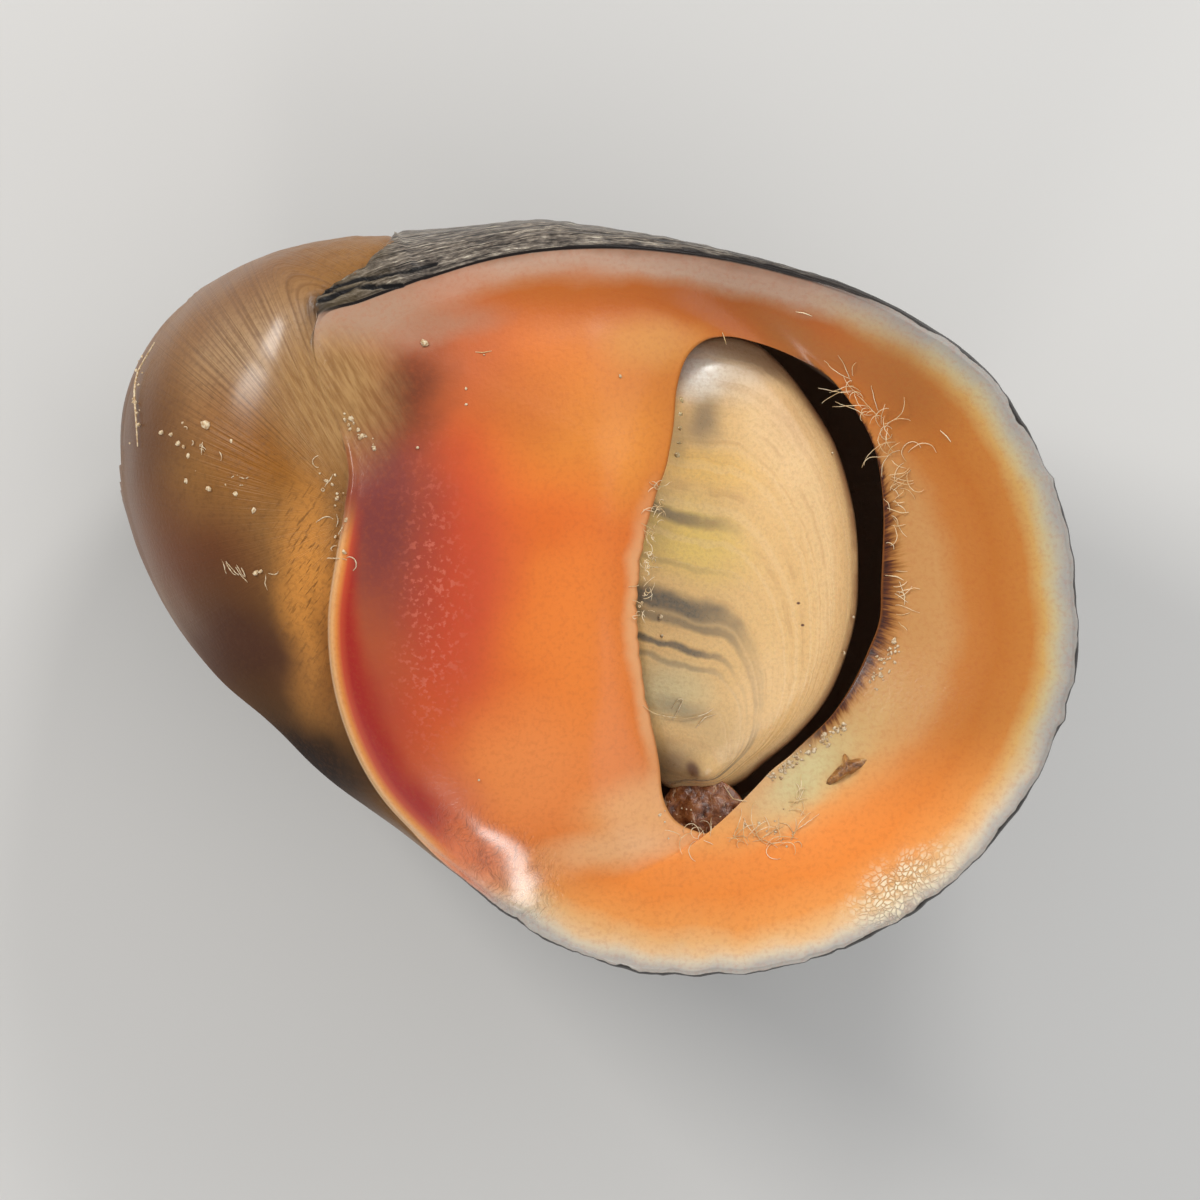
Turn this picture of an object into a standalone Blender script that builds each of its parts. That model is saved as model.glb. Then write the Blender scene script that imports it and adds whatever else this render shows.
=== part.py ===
# A nerite shell lying on its back with its mouth up. Its shelly door, the operculum, rests in the mouth,
# and a scrap of dried foot lies at the door's lower end.
# Metres, +Z up. The origin is on the ground, under the middle of the shell.

import math

import bmesh
import bpy
import numpy as np

# Driving dimensions, in metres and degrees. Angles are counted from +X towards +Y.
# A ring is a closed curve round a centre, given as (angle, value) pairs with a smooth curve through them.

COLUMNS = 72                      # faces round the shell
BACK_STEPS = 16                   # rows of faces in each zone
EDGE_STEPS = 6
FACE_STEPS = 14
DECK_UNDERSIDE_STEPS = 7
CHAMBER_STEPS = 8
REST_SPOT_RADIUS = 0.0034         # the worn flat spot that the shell lies on
REST_SPOT_CENTRE = (-0.0013, 0.0014)  # under the shell's weight

OUTLINE = (                       # widest outline, seen from above: radius
    (0, 0.01349), (15, 0.01317), (30, 0.01267), (45, 0.01170), (60, 0.01080), (75, 0.01038), (88, 0.01042),
    (100, 0.01085), (110, 0.01117), (120, 0.01183), (130, 0.01310), (140, 0.01408), (150, 0.01462),
    (157, 0.01455), (165, 0.01401), (175, 0.01296), (190, 0.01124), (200, 0.01006), (212, 0.00932),
    (230, 0.00868), (245, 0.00890), (260, 0.00971), (275, 0.01052), (290, 0.01127), (305, 0.01205),
    (320, 0.01272), (335, 0.01326), (350, 0.01354))
OUTLINE_HEIGHT = (                # how high that outline runs
    (0, 0.0118), (45, 0.0121), (70, 0.0121), (90, 0.0118), (110, 0.0111), (125, 0.0099), (140, 0.0088),
    (155, 0.0081), (170, 0.0079), (185, 0.0082), (200, 0.0087), (215, 0.0094), (228, 0.0103), (245, 0.0110),
    (270, 0.0115), (300, 0.0116), (330, 0.0117))
BODY_SHARE = (                    # the body behind the flaring lip, as a share of the outline
    (0, 0.90), (45, 0.92), (90, 0.97), (130, 1.0), (200, 1.0), (232, 0.92), (262, 0.78), (285, 0.74),
    (310, 0.78), (335, 0.85))
BACK_FULLNESS = (                 # how square the back is, where 2 is an ellipse
    (0, 2.1), (70, 2.3), (140, 2.0), (200, 2.3), (270, 2.3))
LIP_FLARE_POWER = 4.0             # how suddenly the lip flares from the body
EDGE_FULLNESS = 2.0

FACE_EDGE = (                     # the lip's edge, and on the left the margin of the deck: radius
    (0, 0.01328), (15, 0.01296), (30, 0.01246), (45, 0.01142), (60, 0.01052), (75, 0.01000), (90, 0.00985),
    (106, 0.00998), (120, 0.01028), (129, 0.01070), (134.5, 0.01110), (138.5, 0.01075), (142, 0.00995),
    (146, 0.00890), (152, 0.00802), (160, 0.00762), (170, 0.00750), (185, 0.00767), (203, 0.00798),
    (222, 0.00833), (235, 0.00850), (248, 0.00886), (260, 0.00950), (275, 0.01033), (290, 0.01107),
    (305, 0.01186), (320, 0.01252), (335, 0.01306), (350, 0.01333))
FACE_EDGE_HEIGHT = (
    (0, 0.0123), (45, 0.0129), (90, 0.0134), (120, 0.0134), (135, 0.0135), (145, 0.0141), (157, 0.0145),
    (172, 0.0144), (187, 0.0138), (202, 0.0130), (217, 0.0122), (232, 0.0117), (250, 0.0117), (270, 0.0120),
    (300, 0.0121), (330, 0.0122))

MOUTH_CENTRE = (0.00467, 0.00038)
MOUTH = (                         # the opening in the face: radius
    (0, 0.00328), (22, 0.00360), (40, 0.00430), (53, 0.00503), (64, 0.00562), (73, 0.00613), (83, 0.00650),
    (92, 0.00684), (99, 0.00709), (104, 0.00710), (109, 0.00680), (114, 0.00613), (119, 0.00532),
    (127, 0.00455), (140, 0.00402), (151, 0.00381), (169, 0.00361), (188, 0.00369), (202, 0.00391),
    (213, 0.00423), (224, 0.00470), (232, 0.00519), (240, 0.00597), (244, 0.00662), (248, 0.00704),
    (253, 0.00720), (259, 0.00705), (263, 0.00645), (269, 0.00552), (279, 0.00482), (298, 0.00410),
    (310, 0.00376), (326, 0.00347), (343, 0.00338))
DECK_SHARE = (                    # 1 on the deck, 0 on the open lip
    (60, 0.0), (92, 0.12), (118, 0.62), (140, 1.0), (225, 1.0), (246, 0.65), (268, 0.15), (290, 0.0))
DECK_TOP = 0.0153                 # the deck is a low dome with this summit
DECK_MIDDLE = (-0.0036, 0.0008)
DECK_FALL = (18, 26)              # metres that it falls along X and Y, for each square metre off the middle
LIP_TOP = 0.0122                  # the lip is a bowl that steepens towards the mouth
LIP_DEPTH = 0.0036
LIP_REACH = (0.0088, 0.0106)
LIP_POWER = 1.5
DECK_TO_LIP = (-0.0005, 0.0070)   # the deck passes into the lip between these, along X
RIM_BLEND = (0.0020, 0.0011)      # how far in the edge's own height is felt, on the lip and on the deck
DECK_STEP = 0.0003                # the edge of the deck stands this much above the whorl that it lies on
DECK_STEP_WIDTH = 0.0003
DECK_STEP_FADE = 0.0015
FACE_ROW_POWER = 1.15             # rows lie closer together near the edge
DECK_THICKNESS = 0.0008
THROAT_DROP = 0.0020              # the lip's wall goes down this far before the chamber widens
THROAT = ((0.5, 0.00005), (0.85, 0.0002), (1.0, 0.0006))   # share of the drop, and how far out

CHAMBER_SHARE = 0.86              # the chamber's widest ring, as a share of the body
CHAMBER_HEIGHT = 0.0070
CHAMBER_FLOOR = 0.0016            # thickness of the shell's back
CHAMBER_TOP_FULLNESS = 2.4
CHAMBER_BACK_FULLNESS = 2.3

APEX_ANGLE = 151.0                # where the spire's tip is on the unrolled back
APEX_RADIUS = 0.0117
SUTURE_START_ANGLE = 112.5        # where the suture meets the lip, seen from the apex
SUTURE_START_RADIUS = 0.0081
SUTURE_TIGHTNESS = 0.187          # growth of the spiral for each radian
SUTURE_TURNS = 3
SUTURE_DEPTH = 0.045              # groove depth, as a share of the suture's distance from the apex
SUTURE_RISE = 0.027               # the shoulder beside the groove, the same way
SUTURE_GROOVE_WIDTH = 0.12
SUTURE_SHOULDER_WIDTH = 0.2
SUTURE_FADE_ANGLE = 12            # the newest suture deepens over this much of its turn
SPIRE_RISE = 0.0006
SPIRE_RADIUS = 0.0045
OUTLINE_KEEP = 0.0025             # the relief fades out this near to the widest outline

OPERCULUM_CENTRE = (0.00382, 0.00081)
OPERCULUM = (                     # the door's outline: its left side lies under the deck
    (0, 0.00337), (20, 0.00353), (40, 0.00398), (53, 0.00445), (67, 0.00500), (78, 0.00555), (87, 0.00595),
    (97, 0.00610), (104, 0.00590), (110, 0.00545), (117, 0.00480), (126, 0.00425), (142, 0.00369),
    (165, 0.00331), (190, 0.00333), (212, 0.00379), (228, 0.00452), (239, 0.00520), (248, 0.00572),
    (256, 0.00595), (266, 0.00585), (274, 0.00555), (290, 0.00485), (305, 0.00434), (322, 0.00383),
    (340, 0.00350))
OPERCULUM_LEFT_HEIGHT = 0.01235
OPERCULUM_RIGHT_HEIGHT = 0.01075
OPERCULUM_CROWN = 0.00055
OPERCULUM_ROLL = 0.00045          # its rim rolls down by this much
OPERCULUM_ROLL_START = 0.8
OPERCULUM_THICKNESS = 0.0008
OPERCULUM_COLUMNS = 40
OPERCULUM_TOP_SHARES = (0.2, 0.4, 0.6, 0.8, 0.93)
OPERCULUM_UNDER_SHARES = (0.96, 0.75, 0.5, 0.25)
OPERCULUM_RIM_DROP = 0.0002

TISSUE_CENTRE = (0.00292, -0.00592, 0.0113)
TISSUE_SIZE = (0.0016, 0.0006, 0.0005)
TISSUE_COLUMNS = 20
TISSUE_LATITUDES = (60, 30, 0, -30, -60)

SHELL_COLOUR = (0.72, 0.30, 0.12)
OPERCULUM_COLOUR = (0.66, 0.50, 0.29)
TISSUE_COLOUR = (0.18, 0.08, 0.04)


def around(ring, angles):
    """Values of a ring at the given angles: cubic pieces whose slopes come from the neighbouring pairs."""
    pairs = np.array(ring, float)
    degrees = np.concatenate((pairs[-2:, 0] - 360, pairs[:, 0], pairs[:3, 0] + 360))
    values = np.concatenate((pairs[-2:, 1], pairs[:, 1], pairs[:3, 1]))
    slopes = np.gradient(values, degrees)
    wanted = np.mod(np.asarray(angles, float), 360)
    wanted = np.where(wanted < pairs[0, 0], wanted + 360, wanted)
    left = np.searchsorted(degrees, wanted, side="right") - 1
    gap = degrees[left + 1] - degrees[left]
    t = (wanted - degrees[left]) / gap
    start = values[left] * (1 + 2 * t) * (1 - t) ** 2 + slopes[left] * gap * t * (1 - t) ** 2
    end = values[left + 1] * t ** 2 * (3 - 2 * t) + slopes[left + 1] * gap * t ** 2 * (t - 1)
    return start + end


def directions(angles):
    """Unit vectors in plan, one for each angle."""
    turned = np.radians(angles)
    return np.stack((np.cos(turned), np.sin(turned)), axis=-1)


def circle(radii, angles, centre=(0.0, 0.0)):
    """Points in plan at the given radii round a centre."""
    return np.asarray(centre) + np.asarray(radii)[..., None] * directions(angles)


def raised(plan, height):
    """Puts plan points at their heights."""
    return np.concatenate((plan, np.broadcast_to(height, plan.shape[:-1])[..., None]), axis=-1)


def quarter(t, fullness):
    """A quarter of a superellipse: how far out, and how far still to rise, from the bottom to the side."""
    out = np.sin(t * math.pi / 2) ** (2 / fullness)
    left = np.cos(t * math.pi / 2) ** (2 / fullness)
    return out, left


def back_rows(angles):
    """The back of the shell, from the rest spot out to the widest outline, flaring towards the lip."""
    t = np.linspace(0, 1, BACK_STEPS + 1)[:, None]
    out, left = quarter(t, around(BACK_FULLNESS, angles))
    outline = around(OUTLINE, angles)
    flare = outline * (1 - around(BODY_SHARE, angles))
    start = circle(np.full(len(angles), REST_SPOT_RADIUS), angles, REST_SPOT_CENTRE)
    end = circle(outline - flare, angles)
    height = around(OUTLINE_HEIGHT, angles) * (1 - left)
    plan = start + (end - start) * out[..., None]
    plan = plan + directions(angles) * (flare * (1 - left) ** LIP_FLARE_POWER)[..., None]
    return raised(plan, height)


def edge_rows(angles):
    """From the widest outline round to the lip's edge, or on the left over the whorl to the deck."""
    t = np.linspace(0, 1, EDGE_STEPS + 1)[1:, None]
    out, left = quarter(1 - t, EDGE_FULLNESS)
    edge = around(FACE_EDGE, angles)
    radius = edge + (around(OUTLINE, angles) - edge) * out
    low = around(OUTLINE_HEIGHT, angles)
    height = low + (around(FACE_EDGE_HEIGHT, angles) - low) * left
    return raised(circle(radius, angles), height)


def face_height(plan):
    """The face without its edge: the dome of the deck, passing into the bowl of the lip."""
    off = (plan - np.array(DECK_MIDDLE)) ** 2
    deck = DECK_TOP - off[..., 0] * DECK_FALL[0] - off[..., 1] * DECK_FALL[1]
    reach = np.linalg.norm((plan - np.array(MOUTH_CENTRE)) / np.array(LIP_REACH), axis=-1)
    lip = LIP_TOP - LIP_DEPTH * np.maximum(1 - reach, 0) ** LIP_POWER
    t = np.clip((plan[..., 0] - DECK_TO_LIP[0]) / (DECK_TO_LIP[1] - DECK_TO_LIP[0]), 0, 1)
    return deck + (lip - deck) * t * t * (3 - 2 * t)


def face_rows(angles):
    """The face, from its edge to the mouth. Near the edge it comes to the edge's own height."""
    v = (np.linspace(0, 1, FACE_STEPS + 1)[1:] ** FACE_ROW_POWER)[:, None]
    edge = circle(around(FACE_EDGE, angles), angles)
    mouth = circle(around(MOUTH, angles), angles, MOUTH_CENTRE)
    plan = edge + (mouth - edge) * v[..., None]
    inward = v * np.linalg.norm(mouth - edge, axis=1)
    share = np.clip(around(DECK_SHARE, angles), 0, 1)
    blend = RIM_BLEND[0] + (RIM_BLEND[1] - RIM_BLEND[0]) * share
    miss = around(FACE_EDGE_HEIGHT, angles) - face_height(edge)
    step = DECK_STEP * np.minimum(inward / DECK_STEP_WIDTH, 1) * np.exp(-inward / DECK_STEP_FADE)
    return raised(plan, face_height(plan) + miss * np.exp(-inward / blend) + step * share)


def throat_rows(angles, mouth):
    """The thickness of the deck's inner edge, and the lip's wall going down."""
    share = np.clip(around(DECK_SHARE, angles), 0, 1)
    drop = THROAT_DROP + (DECK_THICKNESS - THROAT_DROP) * share
    radius = around(MOUTH, angles)
    rows = []
    for down, out in THROAT:
        rows.append(raised(circle(radius + out, angles, MOUTH_CENTRE), mouth[:, 2] - drop * down))
    return np.array(rows)


def chamber_rows(angles, throat):
    """The hollow: out from the throat under the deck to its widest ring, then round to its floor."""
    widest = circle(around(OUTLINE, angles) * around(BODY_SHARE, angles) * CHAMBER_SHARE, angles)
    rows = []
    for t in np.linspace(0, 1, DECK_UNDERSIDE_STEPS + 1)[1:]:
        out, left = quarter(t, CHAMBER_TOP_FULLNESS)
        plan = throat[:, :2] + (widest - throat[:, :2]) * out
        rows.append(raised(plan, CHAMBER_HEIGHT + (throat[:, 2] - CHAMBER_HEIGHT) * left))
    floor = np.array(REST_SPOT_CENTRE)
    for t in np.linspace(1, 0, CHAMBER_STEPS + 1)[1:-1]:
        out, left = quarter(t, CHAMBER_BACK_FULLNESS)
        rows.append(raised(floor + (widest - floor) * out,
                           CHAMBER_HEIGHT - (CHAMBER_HEIGHT - CHAMBER_FLOOR) * left))
    return np.array(rows)


def unrolled(outer, angles, back_count):
    """Lays the outer rows flat: each point keeps its angle, and its radius is its distance along the skin,
    scaled so that the widest outline keeps its own radius."""
    steps = np.linalg.norm(np.diff(outer, axis=0), axis=2)
    along = np.concatenate((np.zeros((1, len(angles))), np.cumsum(steps, axis=0))) + REST_SPOT_RADIUS
    outline = around(OUTLINE, angles)
    widest = along[back_count - 1]
    radius = np.where(along <= widest, along * outline / widest, outline + along - widest)
    return circle(radius, angles)


def suture_relief(flat, angles, back_count):
    """How far the skin stands out: lower just inside each suture of the spiral, higher just outside it.
    The widest outline stays where it is."""
    apex = circle(np.array(APEX_RADIUS), np.array(APEX_ANGLE))
    away = flat - apex
    distance = np.maximum(np.linalg.norm(away, axis=-1), 1e-6)
    back = np.mod(SUTURE_START_ANGLE - np.degrees(np.arctan2(away[..., 1], away[..., 0])), 360)
    last = SUTURE_START_RADIUS * np.exp(-SUTURE_TIGHTNESS * np.radians(back))
    turn = math.exp(SUTURE_TIGHTNESS * 2 * math.pi)
    relief = SPIRE_RISE * np.exp(-(distance / SPIRE_RADIUS) ** 2)
    for number in range(SUTURE_TURNS):
        suture = last / turn ** number
        reach = (distance - suture) / suture
        fresh = np.clip(back / SUTURE_FADE_ANGLE, 0, 1) if number == 0 else 1.0
        groove = -SUTURE_DEPTH * np.exp(np.minimum(reach, 0) / SUTURE_GROOVE_WIDTH)
        shoulder = SUTURE_RISE * np.exp(-np.maximum(reach, 0) / SUTURE_SHOULDER_WIDTH)
        relief = relief + np.where(reach < 0, groove, shoulder) * suture * fresh
    past = np.linalg.norm(flat, axis=-1) - around(OUTLINE, angles)
    return relief - relief[back_count - 1] * np.exp(-(past / OUTLINE_KEEP) ** 2)


def skin(name, rows, first, last, colour, roughness):
    """A closed body from rings of points, with a point closing each end. It faces outwards."""
    mesh = bpy.data.meshes.new(name)
    body = bmesh.new()
    rings = [[body.verts.new(point) for point in row] for row in rows]
    for lower, upper in zip(rings, rings[1:]):
        for i in range(len(lower)):
            j = (i + 1) % len(lower)
            body.faces.new((lower[i], upper[i], upper[j], lower[j]))
    for ring, tip in ((rings[0], first), (rings[-1], last)):
        end = body.verts.new(tip)
        for i in range(len(ring)):
            body.faces.new((ring[i], ring[(i + 1) % len(ring)], end))
    bmesh.ops.recalc_face_normals(body, faces=body.faces)
    body.to_mesh(mesh)
    body.free()
    mesh.shade_smooth()
    mesh.set_sharp_from_angle(angle=math.radians(50))
    material = bpy.data.materials.new(name)
    material.use_nodes = True
    shader = material.node_tree.nodes["Principled BSDF"]
    shader.inputs["Base Color"].default_value = (*colour, 1)
    shader.inputs["Roughness"].default_value = roughness
    shader.inputs["Metallic"].default_value = 0
    mesh.materials.append(material)
    bpy.context.scene.collection.objects.link(bpy.data.objects.new(name, mesh))


def make_shell():
    """One skin: back, edge, face, throat and chamber."""
    angles = np.arange(COLUMNS) * 360 / COLUMNS
    back = back_rows(angles)
    outer = np.concatenate((back, edge_rows(angles)))
    relief = suture_relief(unrolled(outer, angles, len(back)), angles, len(back))
    relief[0] = 0
    relief[-1] = 0
    middle = np.array((0, 0, CHAMBER_HEIGHT))
    outward = outer - middle
    outer = outer + outward / np.linalg.norm(outward, axis=2, keepdims=True) * relief[..., None]
    face = face_rows(angles)
    throat = throat_rows(angles, face[-1])
    rows = np.concatenate((outer, face, throat, chamber_rows(angles, throat[-1])))
    skin("shell", rows, (*REST_SPOT_CENTRE, 0), (*REST_SPOT_CENTRE, CHAMBER_FLOOR), SHELL_COLOUR, 0.35)


def make_operculum():
    """A thin half-moon plate, sloping down from the deck to the lip, with a bulging outer face."""
    angles = np.arange(OPERCULUM_COLUMNS) * 360 / OPERCULUM_COLUMNS
    outline = circle(around(OPERCULUM, angles), angles, OPERCULUM_CENTRE)
    centre = np.array(OPERCULUM_CENTRE)
    left, right = outline[:, 0].min(), outline[:, 0].max()

    def top(plan, share):
        across = (plan[..., 0] - left) / (right - left)
        slope = OPERCULUM_LEFT_HEIGHT + (OPERCULUM_RIGHT_HEIGHT - OPERCULUM_LEFT_HEIGHT) * across
        rolled = max((share - OPERCULUM_ROLL_START) / (1 - OPERCULUM_ROLL_START), 0) ** 2
        return slope + OPERCULUM_CROWN * (1 - share ** 2) - OPERCULUM_ROLL * rolled

    rows = []
    for share in OPERCULUM_TOP_SHARES:
        plan = centre + (outline - centre) * share
        rows.append(raised(plan, top(plan, share)))
    rows.append(raised(outline, top(outline, 1.0) - OPERCULUM_RIM_DROP))
    for share in OPERCULUM_UNDER_SHARES:
        plan = centre + (outline - centre) * share
        rows.append(raised(plan, top(plan, share) - OPERCULUM_THICKNESS))
    tip = top(centre, 0.0)
    skin("operculum", rows, (*centre, tip), (*centre, tip - OPERCULUM_THICKNESS), OPERCULUM_COLOUR, 0.3)


def make_tissue():
    """A flattened lump of dried foot."""
    angles = np.arange(TISSUE_COLUMNS) * 360 / TISSUE_COLUMNS
    rows = []
    for level in np.radians(TISSUE_LATITUDES):
        plan = TISSUE_CENTRE[:2] + directions(angles) * np.array(TISSUE_SIZE[:2]) / 2 * math.cos(level)
        rows.append(raised(plan, TISSUE_CENTRE[2] + TISSUE_SIZE[2] / 2 * math.sin(level)))
    x, y, z = TISSUE_CENTRE
    half = TISSUE_SIZE[2] / 2
    skin("dried_tissue", rows, (x, y, z + half), (x, y, z - half), TISSUE_COLOUR, 0.4)


for leftover in list(bpy.data.objects):
    bpy.data.objects.remove(leftover)
make_shell()
make_operculum()
make_tissue()
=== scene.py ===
# A nerite shell lying on its back with its mouth up, its shelly door in the mouth, and the dried scraps,
# fibres and sand that are still on it. The CAD frame gives the place; the surfaces are worked out here.
import math

import bpy
import numpy as np
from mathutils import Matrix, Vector


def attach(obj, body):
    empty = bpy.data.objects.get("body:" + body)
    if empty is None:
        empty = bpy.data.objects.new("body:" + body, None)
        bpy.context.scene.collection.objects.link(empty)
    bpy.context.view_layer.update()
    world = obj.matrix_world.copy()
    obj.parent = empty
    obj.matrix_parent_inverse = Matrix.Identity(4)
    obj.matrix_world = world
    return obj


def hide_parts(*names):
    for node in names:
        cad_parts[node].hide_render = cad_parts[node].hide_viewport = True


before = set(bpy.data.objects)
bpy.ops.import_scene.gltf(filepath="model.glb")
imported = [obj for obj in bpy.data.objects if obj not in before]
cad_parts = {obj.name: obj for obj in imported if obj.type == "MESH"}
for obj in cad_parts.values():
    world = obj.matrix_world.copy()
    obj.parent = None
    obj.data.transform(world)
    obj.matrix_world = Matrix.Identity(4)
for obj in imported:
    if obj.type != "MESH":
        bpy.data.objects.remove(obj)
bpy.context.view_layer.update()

mm = 0.001                      # every length below is in millimetres, unless a note says otherwise

# What a ring is: (angle in degrees from +X, value) pairs round a centre, with a smooth curve through them.

shellForm = dict(
    columns=520, rows=dict(back=50, edge=32, face=84, under=8, chamber=7),
    crowding=0.36, crowdedAt=150,            # columns stand closer together round the shoulder
    rowPower=1.35,                           # rows stand closer together near the rim
    restRadius=3.4, restCentre=(-1.3, 1.4),
    outline=(
        (0, 13.49), (15, 13.17), (30, 12.67), (45, 11.70), (60, 10.80), (75, 10.38), (88, 10.42),
        (100, 10.85), (110, 11.17), (116, 11.50), (119.5, 11.78), (124, 12.36), (130, 13.10),
        (140, 14.08), (150, 14.62), (157, 14.55), (165, 14.01), (175, 12.96), (190, 11.24), (200, 10.06),
        (212, 9.32), (230, 8.68), (245, 8.90), (260, 9.71), (275, 10.52), (290, 11.27), (305, 12.05),
        (320, 12.72), (335, 13.26), (350, 13.54)),
    outlineHeight=(
        (0, 11.8), (45, 12.1), (70, 12.1), (90, 11.8), (110, 11.1), (125, 9.9), (140, 8.8), (155, 8.1),
        (170, 7.9), (185, 8.2), (200, 8.7), (215, 9.4), (228, 10.3), (245, 11.0), (270, 11.5), (300, 11.6),
        (330, 11.7)),
    bodyShare=(
        (0, 0.90), (45, 0.92), (90, 0.97), (130, 1.0), (200, 1.0), (232, 0.92), (262, 0.78), (285, 0.74),
        (310, 0.78), (335, 0.85)),
    backFullness=((0, 2.1), (70, 2.3), (140, 2.0), (200, 2.3), (270, 2.3)),
    flarePower=4.0,
    faceEdge=(
        (0, 13.28), (15, 12.96), (30, 12.46), (45, 11.42), (60, 10.52), (75, 10.00), (90, 9.85),
        (106, 9.98), (120, 10.28), (129, 10.70), (134.5, 11.10), (138.5, 10.75), (142, 9.95), (146, 8.90),
        (152, 8.02), (160, 7.62), (170, 7.50), (185, 7.67), (203, 7.98), (222, 8.33), (235, 8.50),
        (248, 8.86), (260, 9.50), (275, 10.33), (290, 11.07), (305, 11.86), (320, 12.52), (335, 13.06),
        (350, 13.33)),
    faceEdgeHeight=(
        (0, 12.3), (45, 12.9), (90, 13.4), (120, 13.4), (135, 13.5), (145, 14.1), (157, 14.5),
        (172, 14.4), (187, 13.8), (202, 13.0), (217, 12.2), (232, 11.7), (250, 11.7), (270, 12.0),
        (300, 12.1), (330, 12.2)),
    mouthCentre=(4.67, 0.38),
    mouth=(
        (0, 3.28), (22, 3.60), (40, 4.30), (53, 5.03), (64, 5.62), (73, 6.13), (83, 6.50), (92, 6.84),
        (99, 7.09), (104, 7.10), (109, 6.80), (114, 6.13), (119, 5.32), (127, 4.55), (140, 4.02),
        (151, 3.81), (169, 3.61), (188, 3.69), (202, 3.91), (213, 4.23), (224, 4.70), (232, 5.19),
        (240, 5.97), (244, 6.62), (248, 7.04), (253, 7.20), (259, 7.05), (263, 6.45), (269, 5.52),
        (279, 4.82), (298, 4.10), (310, 3.76), (326, 3.47), (343, 3.38)),
    deckShare=(
        (60, 0.0), (92, 0.12), (118, 0.62), (140, 1.0), (225, 1.0), (246, 0.65), (268, 0.15), (290, 0.0)),
    # face heights: a dome for the deck, a bowl for the lip, and how they pass into each other along X
    deckTop=15.3, deckMiddle=(-3.6, 0.8), deckFall=(0.018, 0.026),
    lipTop=12.2, lipDepth=3.6, lipReach=(8.8, 10.6), lipPower=1.5, deckToLip=(-0.5, 7.0),
    rimBlend=(1.1, 2.0), deckThickness=0.8, throatDrop=2.0,
    chamberShare=0.86, chamberHeight=7.0, chamberFloor=1.6,
    suture=dict(apexAngle=151.0, apexRadius=11.7, startAngle=112.5, start=8.1, tightness=0.187, turns=3,
                depth=0.045, rise=0.027),
    # the front suture, and the two cracks between the laminae at the corner of the lip, in plan
    sutureFront=((-7.6, 5.6), (-8.1, 7.2), (-7.93, 7.85), (-7.95, 8.45), (-7.22, 8.93), (-6.57, 9.24),
                 (-6.14, 9.72), (-5.72, 10.15), (-5.1, 11.1)),
    cracks=(((-7.84, 8.25), (-7.22, 8.50), (-6.74, 8.66), (-6.03, 8.74), (-5.55, 8.82)),
            ((-7.87, 8.43), (-7.30, 8.68), (-6.74, 8.85), (-6.03, 8.98), (-5.38, 9.12), (-4.6, 9.42))),
    crackDepth=0.09, crackWidth=0.05,
    # the step of the last whorl: its height and how it fades, the groove before it, the height from which
    # it is seen, and the middle and reach of the part of the front that has it
    lastWhorlStep=0.22, stepFade=1.6, sutureGroove=0.12, frontFrom=(5.5, 8.0),
    sutureCorner=((-7.0, 9.0), 3.0),
    laminaLines=(0.20, 0.42, 0.75), laminaDepth=0.035,
    rimChips=0.11, lipWave=0.05,
    marginStep=0.20, marginBead=0.08, beadAt=0.12, beadWidth=0.08,
    teeth=0.07, toothSpacing=0.46,
    fanCentre=(-6.59, 2.31), fanScale=6.0,
    lipGutter=0.10,
    # where along the rim each thing is: it starts, is full, starts to fade and ends at these degrees from +X
    topLip=(30, 70, 133, 136), toothed=(136, 156, 222, 246), marginAt=(146, 158, 236, 262),
    gutterAt=(55, 80, 118, 135), openRim=(-128, -95, 15, 50), fanAt=(118, 136, 215, 262),
    deckSide=(130, 139, 228, 250), topSide=(38, 62, 131, 136),
    # grains: height or width in millimetres, size of their lumps, and seed
    grains=dict(chips=(1.0, 0.55, 11), chipped=(1.0, 3.1, 12), fineChips=(0.4, 0.22, 13), wave=(1.0, 1.6, 14),
                suture=(0.03, 0.35, 21), lines=(0.05, 0.8, 22), fineLines=(0.03, 0.25, 23),
                laminae=(0.03, 0.30, 24), skin=(0.03, 1.3, 25), crack=(0.02, 0.2, 26),
                toothPlace=(1.5, 0.9, 31), toothSize=(0.5, 0.30, 32), face=(0.03, 1.7, 33)),
)


def around(ring, degrees):
    # values of a ring at any angles: between two pairs a cubic, whose end slopes come from their neighbours
    pairs = np.array(ring, float)
    at = np.concatenate((pairs[-2:, 0] - 360, pairs[:, 0], pairs[:3, 0] + 360))
    value = np.concatenate((pairs[-2:, 1], pairs[:, 1], pairs[:3, 1]))
    slope = np.gradient(value, at)
    want = np.mod(np.asarray(degrees, float), 360)
    want = np.where(want < pairs[0, 0], want + 360, want)
    left = np.searchsorted(at, want, side="right") - 1
    gap = at[left + 1] - at[left]
    t = (want - at[left]) / gap
    first = value[left] * (1 + 2 * t) * (1 - t) ** 2 + slope[left] * gap * t * (1 - t) ** 2
    return first + value[left + 1] * t ** 2 * (3 - 2 * t) + slope[left + 1] * gap * t ** 2 * (t - 1)


def ways(degrees):
    # unit vectors in plan: cosine and sine of each angle
    turned = np.radians(degrees)
    return np.stack((np.cos(turned), np.sin(turned)), axis=-1)


def ringPoints(radius, degrees, centre=(0.0, 0.0)):
    # centre plus radius times the unit vector
    return np.asarray(centre) + np.asarray(radius)[..., None] * ways(degrees)


def lifted(plan, height):
    # plan points with their heights put beside them
    return np.concatenate((plan, np.broadcast_to(height, plan.shape[:-1])[..., None]), axis=-1)


def rounded(t, fullness):
    # quarter of a superellipse: sine and cosine of the way round, each to the power 2 / fullness
    return np.sin(t * math.pi / 2) ** (2 / fullness), np.cos(t * math.pi / 2) ** (2 / fullness)


def ease(low, high, x):
    # 0 below low, 1 above high, and 3t^2 - 2t^3 between
    t = np.clip((x - low) / (high - low), 0, 1)
    return t * t * (3 - 2 * t)


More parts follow.
